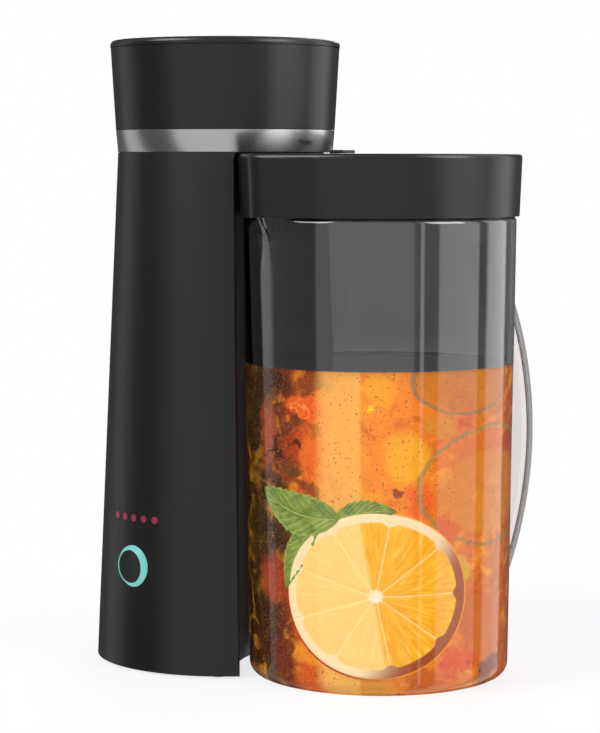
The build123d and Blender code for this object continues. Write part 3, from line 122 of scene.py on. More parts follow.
# ---------------------------------------------------------------------------- the bench
class Bench:
    """Modelling by hand: each call works on one object, and leaves nothing else selected."""

    @staticmethod
    def clear() -> None:
        """Leave edit mode and deselect every object."""
        active = bpy.context.view_layer.objects.active
        if active is not None and active.mode != "OBJECT":
            bpy.ops.object.mode_set(mode="OBJECT")
        bpy.ops.object.select_all(action="DESELECT")

    @staticmethod
    def take(piece: bpy.types.Object) -> None:
        """Make one object the only selected one."""
        Bench.clear()
        piece.select_set(True)
        bpy.context.view_layer.objects.active = piece

    @staticmethod
    def named(name: str) -> bpy.types.Object:
        """Name the new primitive and apply its place.

        Args:
            name: The piece's name.

        Returns:
            The new object, with its origin at the frame's origin.
        """
        piece = bpy.context.active_object
        piece.name = name
        piece.data.name = name
        bpy.ops.object.transform_apply(location=True, rotation=True, scale=True)
        return piece

    @staticmethod
    def disc(name: str, radius: float, place: Place, sides: int) -> bpy.types.Object:
        """Add a flat filled disc.

        Args:
            name: The piece's name.
            radius: Radius.
            place: Its middle.
            sides: Number of points on its rim.

        Returns:
            The new object.
        """
        Bench.clear()
        bpy.ops.mesh.primitive_circle_add(
            vertices=sides, radius=radius * MM, fill_type="NGON",
            location=[value * MM for value in place])
        return Bench.named(name)

    @staticmethod
    def block(name: str, size: Place, place: Place) -> bpy.types.Object:
        """Add a box.

        Args:
            name: The piece's name.
            size: Lengths of its sides.
            place: Its middle.

        Returns:
            The new object.
        """
        Bench.clear()
        bpy.ops.mesh.primitive_cube_add(size=MM, location=[value * MM for value in place],
                                        scale=size)
        return Bench.named(name)

    @staticmethod
    def sheet(name: str, counts: tuple[int, int]) -> bpy.types.Object:
        """Add a flat square grid from -1 to 1 metre, to be shaped.

        Args:
            name: The piece's name.
            counts: Points along X and Y.

        Returns:
            The new object.
        """
        Bench.clear()
        bpy.ops.mesh.primitive_grid_add(x_subdivisions=counts[0], y_subdivisions=counts[1], size=2)
        return Bench.named(name)

    @staticmethod
    def edit(piece: bpy.types.Object, kind: Pick = Pick.POINTS, test: Test | None = None) -> int:
        """Open a piece in edit mode with all, or what passes a test, selected.

        Args:
            piece: The object to edit.
            kind: Whether points, edges or faces are picked.
            test: Takes an element's middle, in millimetres, and its normal.

        Returns:
            How many elements are selected.
        """
        Bench.take(piece)
        bpy.ops.object.mode_set(mode="EDIT")
        bpy.ops.mesh.select_mode(type=kind.value)
        if test is None:
            bpy.ops.mesh.select_all(action="SELECT")
            return len(piece.data.vertices)
        bpy.ops.mesh.select_all(action="DESELECT")
        mesh = bmesh.from_edit_mesh(piece.data)
        mesh.normal_update()
        elements = {Pick.POINTS: mesh.verts, Pick.EDGES: mesh.edges, Pick.FACES: mesh.faces}[kind]
        picked = 0
        for element in elements:
            corners = [element] if kind is Pick.POINTS else list(element.verts)
            middle = sum((corner.co for corner in corners), Vector()) / len(corners) / MM
            normal = element.normal if kind is not Pick.EDGES else corners[0].normal
            if test(middle, normal):
                element.select_set(True)
                picked += 1
        mesh.select_flush_mode()
        bmesh.update_edit_mesh(piece.data)
        return picked

    @staticmethod
    def close() -> None:
        """Go back to object mode."""
        bpy.ops.object.mode_set(mode="OBJECT")

    @staticmethod
    def tidy(piece: bpy.types.Object, outwards: bool = True) -> None:
        """Merge doubled points and, if asked, turn every face outwards.

        Args:
            piece: The object to tidy.
            outwards: Whether the normals are worked out afresh.
        """
        Bench.edit(piece)
        bpy.ops.mesh.remove_doubles(threshold=1e-6)
        if outwards:
            bpy.ops.mesh.normals_make_consistent(inside=False)
        Bench.close()

    @staticmethod
    def lathe(name: str, outline: Sequence[Point], axis: Point, steps: int = 180,
              start: float = 0.0) -> bpy.types.Object:
        """Spin an outline round an upright axis.

        Args:
            name: The piece's name.
            outline: (radius, height) points, from one end of the section to the other.
            axis: Plan place of the axis.
            steps: Faces round the axis.
            start: Bearing, in degrees, of the first section.

        Returns:
            The closed surface of revolution.
        """
        turn = math.radians(start)

        def at(point: Point) -> Vector:
            """Return the place of an outline point in metres.

            Args:
                point: Point in millimetres.

            Returns:
                The place.
            """
            radius, height = point
            return Vector((axis[0] + radius * math.cos(turn), axis[1] + radius * math.sin(turn),
                           height)) * MM

        Bench.clear()
        bpy.ops.mesh.primitive_plane_add(size=MM, location=at(outline[0]))
        piece = Bench.named(name)
        Bench.edit(piece)
        bpy.ops.mesh.merge(type="CENTER")
        for before, after in zip(outline, outline[1:]):
            bpy.ops.mesh.extrude_region_move(
                TRANSFORM_OT_translate={"value": tuple(at(after) - at(before))})
        bpy.ops.mesh.select_all(action="SELECT")
        bpy.ops.mesh.spin(steps=steps, angle=2 * math.pi, axis=(0, 0, 1),
                          center=(axis[0] * MM, axis[1] * MM, 0))
        Bench.close()
        Bench.tidy(piece)
        return piece

    @staticmethod
    def reshape(piece: bpy.types.Object, shape: Shape) -> None:
        """Move every point of a mesh by a rule.

        Args:
            piece: The object to shape.
            shape: Takes a point and returns its new place, both in millimetres.
        """
        for vertex in piece.data.vertices:
            vertex.co = shape(vertex.co / MM) * MM
        piece.data.update()

    @staticmethod
    def modifier(piece: bpy.types.Object, kind: str, **settings: object) -> None:
        """Add a modifier and apply it.

        Args:
            piece: The object to change.
            kind: The modifier's type, such as "BEVEL".
            **settings: The modifier's own settings.
        """
        Bench.take(piece)
        made = piece.modifiers.new(kind.title(), kind)
        for setting, value in settings.items():
            setattr(made, setting, value)
        bpy.ops.object.modifier_apply(modifier=made.name)

    @staticmethod
    def round_off(piece: bpy.types.Object, degrees: float = 35.0) -> None:
        """Shade smooth, but for edges sharper than an angle.

        Args:
            piece: The object to shade.
            degrees: Edges sharper than this stay crisp.
        """
        Bench.take(piece)
        bpy.ops.object.shade_smooth_by_angle(angle=math.radians(degrees))
        Bench.clear()


# ---------------------------------------------------------------------------- shaders
class Shader:
    """One material's node tree, built a node at a time."""

    def __init__(self, name: str) -> None:
        """Start an empty material.

        Args:
            name: The material's name.
        """
        self.material = bpy.data.materials.new(name)
        self.material.use_nodes = True
        self.tree = self.material.node_tree
        self.tree.nodes.clear()

    def node(self, kind: str, inputs: dict | None = None, **settings: object) -> bpy.types.Node:
        """Add a node.

        Args:
            kind: Node type without its "ShaderNode" start.
            inputs: Values, written colours or sockets for its inputs, by name or number.
            **settings: The node's own settings.

        Returns:
            The new node.
        """
        made = self.tree.nodes.new("ShaderNode" + kind)
        for setting, value in settings.items():
            setattr(made, setting, value)
        for key, value in (inputs or {}).items():
            socket = made.inputs[key]
            if isinstance(value, str):
                socket.default_value = hex_colour(value)
            elif isinstance(value, bpy.types.NodeSocket):
                self.tree.links.new(value, socket)
            else:
                socket.default_value = value
        return made

    def place(self, axis: Point = (0.0, 0.0)) -> bpy.types.NodeSocket:
        """Return object coordinates in metres, centred on an upright axis.

        Args:
            axis: Plan place of the axis, in millimetres.

        Returns:
            The vector socket.
        """
        whole = self.node("TexCoord").outputs["Object"]
        return self.node("Mapping", {
            "Vector": whole, "Location": (-axis[0] * MM, -axis[1] * MM, 0)}).outputs["Vector"]

    def split(self, vector: bpy.types.NodeSocket) -> Sequence[bpy.types.NodeSocket]:
        """Return the X, Y and Z of a vector."""
        return self.node("SeparateXYZ", {"Vector": vector}).outputs

    def math(self, operation: str, *values: object) -> bpy.types.NodeSocket:
        """Add a Math node.

        Args:
            operation: The operation's name.
            *values: Numbers or sockets.

        Returns:
            Its result.
        """
        return self.node("Math", dict(enumerate(values)), operation=operation).outputs[0]

    def mix(self, share: object, low: object, high: object) -> bpy.types.NodeSocket:
        """Mix two colours.

        Args:
            share: Share of the second colour.
            low: First colour, or socket.
            high: Second colour, or socket.

        Returns:
            The mixed colour.
        """
        return self.node("Mix", {0: share, 6: low, 7: high}, data_type="RGBA").outputs[2]

    def range(self, value: object, low: float, high: float, first: float = 0.0,
              last: float = 1.0) -> bpy.types.NodeSocket:
        """Turn a value between two limits into an S-shaped share.

        Args:
            value: The socket to read.
            low: Value that gives first.
            high: Value that gives last.
            first: Result at and below low.
            last: Result at and above high.

        Returns:
            The result.
        """
        return self.node("MapRange", {"Value": value, "From Min": low, "From Max": high,
                                      "To Min": first, "To Max": last},
                         interpolation_type="SMOOTHSTEP").outputs["Result"]

    def layer(self, colour: object, value: object, low: float, high: float, over: str,
              strength: float = 1.0) -> bpy.types.NodeSocket:
        """Lay a colour over another where a value nears a limit.

        Args:
            colour: The colour below.
            value: The socket to read.
            low: Value at which none of the new colour shows.
            high: Value at which all of it shows.
            over: The new colour, as written.
            strength: The most of it that shows.

        Returns:
            The layered colour.
        """
        return self.mix(self.range(value, low, high, 0.0, strength), colour, over)

    def ramp(self, value: object, stops: Sequence[tuple[float, str]]) -> bpy.types.NodeSocket:
        """Turn a share into a colour by a ramp.

        Args:
            value: The socket to read.
            stops: Shares and their written colours.

        Returns:
            The colour.
        """
        made = self.node("ValToRGB", {"Fac": value})
        elements = made.color_ramp.elements
        while len(elements) < len(stops):
            elements.new(0.5)
        for element, (share, code) in zip(elements, stops):
            element.position = share
            element.color = hex_colour(code)
        return made.outputs["Color"]

    def noise(self, vector: bpy.types.NodeSocket, size: float, detail: float = 2.0,
              distortion: float = 0.0) -> bpy.types.NodeSocket:
        """Return soft noise whose features are about a size.

        Args:
            vector: Coordinates in metres.
            size: Feature size in millimetres.
            detail: Octaves.
            distortion: How far it is warped.

        Returns:
            Values about a half.
        """
        return self.node("TexNoise", {"Vector": vector, "Scale": 1 / (size * MM),
                                      "Detail": detail, "Distortion": distortion}).outputs["Fac"]

    def bump(self, height: bpy.types.NodeSocket, depth: float,
             under: bpy.types.NodeSocket | None = None) -> bpy.types.NodeSocket:
        """Turn a height into a normal.

        Args:
            height: Share of the depth.
            depth: Full depth in millimetres.
            under: Another bump's normal that this one lies on.

        Returns:
            The normal.
        """
        inputs: dict = {"Height": height, "Distance": depth * MM, "Strength": 1.0}
        if under is not None:
            inputs["Normal"] = under
        return self.node("Bump", inputs).outputs["Normal"]

    def principled(self, **inputs: object) -> bpy.types.NodeSocket:
        """Add the main shader.

        Args:
            **inputs: Its inputs, with underscores for blanks.

        Returns:
            Its output.
        """
        named = {key.replace("_", " "): value for key, value in inputs.items()}
        ior = named.pop("IOR level", None)
        if ior is not None:
            named["Specular IOR Level"] = ior
        return self.node("BsdfPrincipled", named).outputs["BSDF"]

    def finish(self, surface: bpy.types.NodeSocket) -> bpy.types.Material:
        """Lead a shader to the material's output.

        Args:
            surface: The shader's output.

        Returns:
            The finished material.
        """
        self.node("OutputMaterial", {"Surface": surface})
        return self.material

    def lamps_pass(self, surface: bpy.types.NodeSocket, colour: object) -> bpy.types.NodeSocket:
        """Let the rays of lamps through a clear surface.

        Args:
            surface: The clear shader.
            colour: What the surface lets through.

        Returns:
            The mixed shader.
        """
        path = self.node("LightPath").outputs["Is Shadow Ray"]
        clear = self.node("BsdfTransparent", {"Color": colour}).outputs["BSDF"]
        return self.node("MixShader", {0: path, 1: surface, 2: clear}).outputs[0]


class Finish:
    """A finish that can be asked for its material. It is made once and kept by name."""

    made: dict[str, bpy.types.Material] = {}

    def material(self) -> bpy.types.Material:
        """Return the finish's material."""
        if self.name not in Finish.made:  # type: ignore[attr-defined]
            Finish.made[self.name] = self.build(Shader(self.name))  # type: ignore[attr-defined]
        return Finish.made[self.name]  # type: ignore[attr-defined]

    def build(self, shader: Shader) -> bpy.types.Material:
        """Build the material.

        Args:
            shader: The empty tree to build in.

        Returns:
            The finished material.
        """
        raise NotImplementedError


@dataclass(frozen=True)
class MouldedPlastic(Finish):
    """Plastic with the fine grain of its mould, a little uneven in colour and shine."""

    name: str
    colour: str
    roughness: float = 0.42
    grain: float = 0.55
    depth: float = 0.018
    shade: float = 0.12
    shine: float = 0.5

    def build(self, shader: Shader) -> bpy.types.Material:
        """Build grain, faint flow marks and a slightly patchy shine.

        Args:
            shader: The empty tree to build in.

        Returns:
            The finished material.
        """
        place = shader.place()
        flow = shader.noise(place, 60.0, 3.0)
        fine = shader.noise(place, self.grain, 1.0)
        cells = shader.node("TexVoronoi", {"Vector": place, "Scale": 1 / (self.grain * 1.6 * MM)},
                            feature="SMOOTH_F1").outputs["Distance"]
        height = shader.math("MULTIPLY_ADD", cells, 0.6, fine)
        rough = shader.math("MULTIPLY_ADD", flow, 0.08, self.roughness - 0.04)
        return shader.finish(shader.principled(
            Base_Color=shader.mix(flow, shade(self.colour, 1 - self.shade),
                                  shade(self.colour, 1 + self.shade)),
            Roughness=rough, IOR_level=self.shine, Normal=shader.bump(height, self.depth)))


@dataclass(frozen=True)
class BrushedSteel(Finish):
    """Metal with fine scratches that run round an upright axis."""

    name: str
    colour: str
    axis: Point
    roughness: float = 0.24
    streak: float = 0.09

    def build(self, shader: Shader) -> bpy.types.Material:
        """Build long streaks in colour, shine and height.

        Args:
            shader: The empty tree to build in.

        Returns:
            The finished material.
        """
        place = shader.place(self.axis)
        x, y, z = shader.split(place)
        bearing = shader.math("ARCTAN2", y, x)
        round_about = shader.node("CombineXYZ", {
            0: shader.math("MULTIPLY", bearing, 0.0045), 1: 0.0, 2: z}).outputs[0]
        long = shader.noise(round_about, self.streak, 2.0)
        broad = shader.noise(round_about, self.streak * 5, 1.0)
        both = shader.math("MULTIPLY_ADD", broad, 0.6, shader.math("MULTIPLY", long, 0.6))
        deep = shade(self.colour, 0.72)
        rough = shader.math("MULTIPLY_ADD", long, 0.16, self.roughness - 0.08)
        return shader.finish(shader.principled(
            Base_Color=shader.mix(both, deep, self.colour), Metallic=1.0, Roughness=rough,
            Normal=shader.bump(both, 0.012)))


@dataclass(frozen=True)
class PlainMetal(Finish):
    """Turned or pressed metal with faint handling marks."""

    name: str
    colour: str
    roughness: float = 0.28
    mark: float = 1.6

    def build(self, shader: Shader) -> bpy.types.Material:
        """Build small marks in the shine.

        Args:
            shader: The empty tree to build in.

        Returns:
            The finished material.
        """
        place = shader.place()
        marks = shader.noise(place, self.mark, 4.0, 0.6)
        deep = shade(self.colour, 0.78)
        rough = shader.math("MULTIPLY_ADD", marks, 0.22, self.roughness - 0.1)
        return shader.finish(shader.principled(
            Base_Color=shader.mix(marks, deep, self.colour), Metallic=1.0, Roughness=rough,
            Normal=shader.bump(marks, 0.006)))


@dataclass(frozen=True)
class SoftRubber(Finish):
    """Rubber or silicone: dull, with a fine bloom."""

    name: str
    colour: str
    roughness: float = 0.68
    glow: float = 0.0

    def build(self, shader: Shader) -> bpy.types.Material:
        """Build a dull skin with a pale bloom.

        Args:
            shader: The empty tree to build in.

        Returns:
            The finished material.
        """
        place = shader.place()
        bloom = shader.noise(place, 7.0, 4.0)
        fine = shader.noise(place, 0.3, 1.0)
        skin = hex_colour(self.colour)[:3]
        pale = tuple(min(1.0, value * 1.35 + 0.01) for value in skin) + (1.0,)
        rough = shader.math("MULTIPLY_ADD", bloom, 0.14, self.roughness - 0.07)
        return shader.finish(shader.principled(
            Base_Color=shader.mix(bloom, self.colour, pale), Roughness=rough,
            Subsurface_Weight=self.glow, Subsurface_Scale=0.002,
            Normal=shader.bump(fine, 0.01)))


@dataclass(frozen=True)
class ClearPlastic(Finish):
    """Clear moulded plastic, smoked above a height and thinner to the eye below it."""

    name: str
    clear: str
    smoke: str
    edge: str
    smoke_from: float = 0.0
    fade: float = 0.8
    roughness: float = 0.03
    gloss: float = 1.0
    axis: Point = (0.0, 0.0)

    def build(self, shader: Shader) -> bpy.types.Material:
        """Build a tint by height that deepens where the wall is seen along its thickness.

        Args:
            shader: The empty tree to build in.

        Returns:
            The finished material.
        """
        place = shader.place(self.axis)
        z = shader.split(place)[2]
        high = shader.range(z, (self.smoke_from - self.fade) * MM,
                            (self.smoke_from + self.fade) * MM)
        facing = shader.node("LayerWeight", {"Blend": 0.35}).outputs["Facing"]
        along = shader.range(facing, 0.45, 1.0)
        smoked = shader.mix(along, self.smoke, self.edge)
        tint = shader.mix(high, self.clear, smoked)
        ripple = shader.noise(place, 38.0, 1.0)
        surface = shader.principled(
            Base_Color=tint, Transmission_Weight=1.0, Roughness=self.roughness, IOR=1.46,
            Coat_Weight=shader.math("MULTIPLY_ADD", high, 0.85 * self.gloss, 0.15 * self.gloss),
            Coat_Roughness=0.05, Coat_IOR=1.62,
            Normal=shader.bump(ripple, 0.25))
        return shader.finish(shader.lamps_pass(surface, tint))


@dataclass(frozen=True)
class FaintPlastic(Finish):
    """Thin clear plastic seen through smoked plastic: little of it shows."""

    name: str
    colour: str
    alpha: float

    def build(self, shader: Shader) -> bpy.types.Material:
        """Build a nearly clear skin with faint clouds in it."""
        clouds = shader.noise(shader.place(), 9.0, 2.0)
        deep = shade(self.colour, 0.8)
        return shader.finish(shader.principled(
            Base_Color=shader.mix(clouds, deep, self.colour), Roughness=0.3,
            IOR_level=0.2, Alpha=self.alpha))


@dataclass(frozen=True)
class LitPlastic(Finish):
    """Light-guide plastic that glows from a lamp behind it."""

    name: str
    colour: str
    body: str
    power: float

    def build(self, shader: Shader) -> bpy.types.Material:
        """Build an even glow with faint hot and cool patches.

        Args:
            shader: The empty tree to build in.

        Returns:
            The finished material.
        """
        place = shader.place()
        patches = shader.noise(place, 5.0, 2.0)
        glow = shader.mix(patches, self.colour, shade(self.colour, 0.86))
        return shader.finish(shader.principled(
            Base_Color=self.body, Roughness=0.35, Emission_Color=glow,
            Emission_Strength=self.power))


@dataclass(frozen=True)
class CircuitBoard(Finish):
    """Solder-masked board with copper tracks under the mask."""

    name: str
    colour: str = "#12552f"
    track: str = "#2c7d49"

    def build(self, shader: Shader) -> bpy.types.Material:
        """Build tracks from stepped cells, under a shiny mask.

        Args:
            shader: The empty tree to build in.

        Returns:
            The finished material.
        """
        place = shader.place()
        tracks = shader.node("TexBrick", {
            "Vector": place, "Scale": 95.0, "Mortar Size": 0.03, "Brick Width": 0.9,
            "Row Height": 0.35}, offset=0.37).outputs["Fac"]
        return shader.finish(shader.principled(
            Base_Color=shader.mix(tracks, self.colour, self.track),
            Roughness=0.28, Normal=shader.bump(tracks, 0.04)))


@dataclass(frozen=True)
class Patch:
    """A patch in the tea: ice, fruit, painted shade or a painted highlight seen through the wall.

    Its middle and half sizes are in pixels of the photograph. A ring is a hollow patch.
    """

    pixel: Point
    half: Point
    colour: str
    strength: float = 0.9
    turn: float = 0.0
    soft: float = 0.45
    ring: float = 0.0
    calm: bool = False


@dataclass(frozen=True)
class LaidPatch:
    """A patch laid on the wall: its middle and half sizes along the wall, in millimetres."""

    place: Point
    half: Point
    patch: Patch


@dataclass(frozen=True)
class BrewedTea(Finish):
    """Tea with fruit and ice: painted shade beside the tower, orange in front, a painted glow."""

    name: str
    axis: Point
    front: float
    wall: float
    glow: float
    patches: tuple[LaidPatch, ...] = ()
    # Colours round the jug by share of a turn: the dark run beside the tower is painted shade.
    tea_colour_and_painted_shade: tuple[tuple[float, str], ...] = (
        (0.0, "#a8481a"), (0.18, "#7a3212"), (0.24, "#2a140a"), (0.275, "#1c120b"),
        (0.307, "#1e110a"), (0.334, "#34170b"), (0.361, "#5e2510"), (0.386, "#8e3416"),
        (0.408, "#dc5f22"), (0.428, "#ee7824"), (0.478, "#f58c28"), (0.524, "#f78c1e"),
        (0.574, "#ea7a22"), (0.616, "#de7024"), (0.651, "#d57824"), (0.688, "#c46026"),
        (0.728, "#a84824"), (0.80, "#b4541f"), (1.0, "#a8481a"))
    # Bearings of a painted reflection: the pale strip's soft edge, its full start and its crisp edge.
    painted_reflection_strip: tuple[float, float, float] = (-30.0, -22.0, -7.8)

    def build(self, shader: Shader) -> bpy.types.Material:
        """Build colour and painted shade by bearing, swirls, patches, a painted reflection, specks.

        Args:
            shader: The empty tree to build in.

        Returns:
            The finished material.
        """
        place = shader.place(self.axis)
        turned = shader.node("VectorRotate", {"Vector": place, "Angle": -math.radians(self.front)},
                             rotation_type="Z_AXIS").outputs[0]
        toward, aside, height = shader.split(turned)
        bearing = shader.math("ARCTAN2", aside, toward)
        share = shader.math("MULTIPLY_ADD", bearing, 1 / (2 * math.pi), 0.5)
        swirl = shader.noise(place, 24.0, 4.0, 1.2)
        bend = shader.math("MULTIPLY_ADD", swirl, 0.022, shader.math("SUBTRACT", share, 0.011))
        # Painted shade: the ramp darkens the tea beside the tower.
        colour = shader.ramp(bend, self.tea_colour_and_painted_shade)
        colour = shader.layer(colour, swirl, 0.54, 0.72, "#fba424", 0.45)
        colour = shader.layer(colour, swirl, 0.42, 0.30, "#c23c16", 0.35)
        wisps = shader.noise(place, 22.0, 5.0, 2.0)
        colour = shader.layer(colour, wisps, 0.5, 0.66, "#ffb02c", 0.5)
        colour = shader.layer(colour, wisps, 0.44, 0.32, "#b03012", 0.4)
        drift = shader.node("TexNoise", {"Vector": place, "Scale": 130.0, "Detail": 4.0})
        wander = shader.node("VectorMath", {0: drift.outputs["Color"], 1: (0.5, 0.5, 0.5)},
                             operation="SUBTRACT").outputs[0]
        flat = shader.node("CombineXYZ", {
            0: shader.math("MULTIPLY", bearing, self.wall * MM), 1: height, 2: 0.0}).outputs[0]
        shaken = shader.node("VectorMath", {0: wander, 1: (0.017, 0.017, 0.0), 2: flat},
                             operation="MULTIPLY_ADD").outputs[0]
        swayed = shader.node("VectorMath", {0: wander, 1: (0.004, 0.004, 0.0), 2: flat},
                             operation="MULTIPLY_ADD").outputs[0]
        for laid in self.patches:
            colour = self.paint(shader, colour, laid, swayed if laid.patch.calm else shaken)
        # Painted reflection: a pale strip laid over the tea at fixed bearings.
        soft_side, full, crisp = (math.radians(value) for value in self.painted_reflection_strip)
        pale = shader.math("MULTIPLY", shader.range(bearing, soft_side, full),
                           shader.range(bearing, crisp + 0.012, crisp - 0.012, 0.0, 0.72))
        colour = shader.mix(pale, colour, "#fcbf5c")
        threads = shader.noise(place, 7.0, 4.0, 4.0)
        thread = shader.math("ABSOLUTE", shader.math("SUBTRACT", threads, 0.5))
        colour = shader.layer(colour, thread, 0.016, 0.0, "#ffc35a", 0.34)
        specks = shader.noise(place, 1.0, 0.0)
        colour = shader.layer(colour, specks, 0.71, 0.78, "#6a2a12", 0.6)
        # The tea's colour is split between the lamps and a painted glow, as if lit from behind.
        body = shader.mix(TEA_SHADE, colour, BLACK)
        return shader.finish(shader.principled(
            Base_Color=body, Roughness=0.3, Emission_Color=colour,
            Emission_Strength=self.glow, IOR_level=0.1))


    @staticmethod
    def paint(shader: Shader, colour: bpy.types.NodeSocket, laid: LaidPatch,
              on_wall: bpy.types.NodeSocket) -> bpy.types.NodeSocket:
        """Paint one patch over the tea.

        Args:
            shader: The tree to build in.
            colour: The colour below.
            laid: The patch.
            on_wall: Place along the wall, with the patch's own waver in it.

        Returns:
            The painted colour.
        """
        patch = laid.patch
        local = shader.node("Mapping", {
            "Vector": on_wall, "Location": (laid.place[0] * MM, laid.place[1] * MM, 0.0),
            "Rotation": (0.0, 0.0, math.radians(patch.turn)),
            "Scale": (laid.half[0] * MM, laid.half[1] * MM, 1.0)},
            vector_type="TEXTURE").outputs["Vector"]
        away = shader.node("VectorMath", {0: local}, operation="LENGTH").outputs["Value"]
        if patch.ring:
            away = shader.math("ABSOLUTE", shader.math("SUBTRACT", away, 1.0))
            return shader.layer(colour, away, patch.ring, patch.ring * 0.3, patch.colour,
                                patch.strength)
        return shader.layer(colour, away, 1 + patch.soft, 1 - patch.soft, patch.colour,
                            patch.strength)


@dataclass(frozen=True)
class TeaSurface(Finish):
    """The still top of the tea, which mirrors the wall behind it."""

    name: str
    colour: str = "#8e3a16"

    def build(self, shader: Shader) -> bpy.types.Material:
        """Build a wet, swirled surface.

        Args:
            shader: The empty tree to build in.

        Returns:
            The finished material.
        """
        place = shader.place()
        swirl = shader.noise(place, 18.0, 3.0, 1.5)
        colour = shader.mix(swirl, "#5a2410", self.colour)
        ripple = shader.noise(place, 12.0, 2.0)
        return shader.finish(shader.principled(
            Base_Color=colour, Roughness=0.04, IOR=1.4, Normal=shader.bump(ripple, 0.15)))


@dataclass(frozen=True)
class CitrusFlesh(Finish):
    """Cut face of a lemon slice, coloured by its own map: round it, then out from its middle."""

    name: str
    segments: int
    glow: float
    flesh: str = "#f6bd34"
    pale: str = "#ffe2a0"
    pith: str = "#f6dcae"
    peel: str = "#e8901e"

    def build(self, shader: Shader) -> bpy.types.Material:
        """Build segments, membranes, sacs, pith and peel, with a painted reflection, shade and glow.

        Args:
            shader: The empty tree to build in.

        Returns:
            The finished material.
        """
        own = shader.node("UVMap", uv_map="slice").outputs["UV"]
        turn, out, _ = shader.split(own)
        along = shader.math("MULTIPLY", turn, float(self.segments))
        near = shader.math("ABSOLUTE", shader.math("SUBTRACT", shader.math("FRACT", along), 0.5))
        wide = shader.math("MULTIPLY", shader.math("SUBTRACT", 0.5, near), out)
        membrane = shader.range(wide, 0.024, 0.006, 0.0, 0.5)
        sac_place = shader.node("CombineXYZ", {
            0: shader.math("MULTIPLY", turn, 60.0), 1: shader.math("MULTIPLY", out, 3.2),
            2: 0.0}).outputs[0]
        sacs = shader.node("TexNoise", {"Vector": sac_place, "Scale": 1.6, "Detail": 3.0,
                                        "Distortion": 0.6}).outputs["Fac"]
        flesh = shader.mix(shader.range(sacs, 0.35, 0.7), "#eda51c",
                           self.flesh)
        flesh = shader.mix(shader.range(sacs, 0.6, 0.8, 0.0, 0.35), flesh, self.pale)
        angle = shader.math("MULTIPLY", turn, 2 * math.pi)
        across = shader.math("MULTIPLY", shader.math("COSINE", angle), out)
        up = shader.math("MULTIPLY", shader.math("SINE", angle), out)
        # Painted reflection: a pale veil over the left part of the flesh.
        shine = shader.range(shader.math("MULTIPLY_ADD", up, 0.15, across), 0.0, -0.05, 0.0, 0.62)
        flesh = shader.mix(shine, flesh, "#fedc95")
        colour = shader.mix(membrane, flesh, self.pale)
        core = shader.range(out, 0.10, 0.05)
        colour = shader.mix(core, colour, "#fbe8c8")
        corner = shader.math("MULTIPLY", shader.range(near, 0.34, 0.5), 0.045)
        edge = shader.math("ADD", out, corner)
        # Painted shade: the pith browns towards the right and the bottom.
        pith = shader.mix(shader.range(shader.math("MULTIPLY_ADD", up, -0.5, across), 0.2, 0.75),
                          self.pith, "#a04e24")
        colour = shader.mix(shader.range(edge, 0.86, 0.88), colour, pith)
        # Painted shade: the peel's edge goes deep red towards the left.
        rim = shader.mix(shader.range(across, -0.5, 0.3), "#b1381f", self.peel)
        colour = shader.mix(shader.range(out, 0.965, 0.985), colour, rim)
        height = shader.math("SUBTRACT", shader.math("MULTIPLY", sacs, 0.6), membrane)
        # Part of the colour goes to a painted glow, as if lit from behind.
        body = shader.mix(FLESH_SHADE, colour, BLACK)
        return shader.finish(shader.principled(
            Base_Color=body, Roughness=0.32, IOR_level=0.1, Emission_Color=colour,
            Emission_Strength=self.glow, Normal=shader.bump(height, 0.35)))


@dataclass(frozen=True)
class CitrusPeel(Finish):
    """Pitted, oily peel."""

    name: str
    colour: str = "#e98a18"
    glow: float = 0.0

    def build(self, shader: Shader) -> bpy.types.Material:
        """Build pores in colour and height.

        Args:
            shader: The empty tree to build in.

        Returns:
            The finished material.
        """
        place = shader.place()
        pores = shader.node("TexVoronoi", {"Vector": place, "Scale": 900.0}).outputs["Distance"]
        colour = shader.mix(shader.range(pores, 0.0, 0.5), "#b9560c",
                            self.colour)
        # The glow is painted light, as if lit from behind.
        return shader.finish(shader.principled(
            Base_Color=colour, Roughness=0.36, Emission_Color=colour, Emission_Strength=self.glow,
            Normal=shader.bump(pores, 0.18)))


@dataclass(frozen=True)
class MintLeaf(Finish):
    """Leaf coloured by its own map: along the midrib, then out to the edge."""

    name: str
    colour: str
    vein: str
    glow: float
    veins: float = 9.0

    def build(self, shader: Shader) -> bpy.types.Material:
        """Build veins that slant to the edge, quilted green between them.

        Args:
            shader: The empty tree to build in.

        Returns:
            The finished material.
        """
        own = shader.node("UVMap", uv_map="leaf").outputs["UV"]
        along, out, _ = shader.split(own)
        far = shader.math("ABSOLUTE", out)
        slant = shader.math("MULTIPLY_ADD", far, -0.28, along)
        wave = shader.math("PINGPONG", shader.math("MULTIPLY", slant, self.veins), 0.5)
        side_vein = shader.range(wave, 0.07, 0.0, 0.0, 0.75)
        midrib = shader.range(far, 0.06, 0.015)
        lines = shader.math("MAXIMUM", side_vein, midrib)
        place = shader.place()
        patch = shader.noise(place, 6.0, 4.0)
        crumple = shader.noise(place, 1.6, 2.0)
        green = shader.mix(shader.range(patch, 0.3, 0.7), "#56702a",
                           self.colour)
        colour = shader.mix(lines, green, self.vein)
        colour = shader.layer(colour, far, 0.8, 1.0, "#a9c05a", 0.35)
        height = shader.math("SUBTRACT", shader.math("ADD", wave, crumple), lines)
        # The glow is painted light, as if lit from behind.
        return shader.finish(shader.principled(
            Base_Color=colour, Roughness=0.45, Emission_Color=colour, Emission_Strength=self.glow,
            Normal=shader.bump(height, 0.6)))


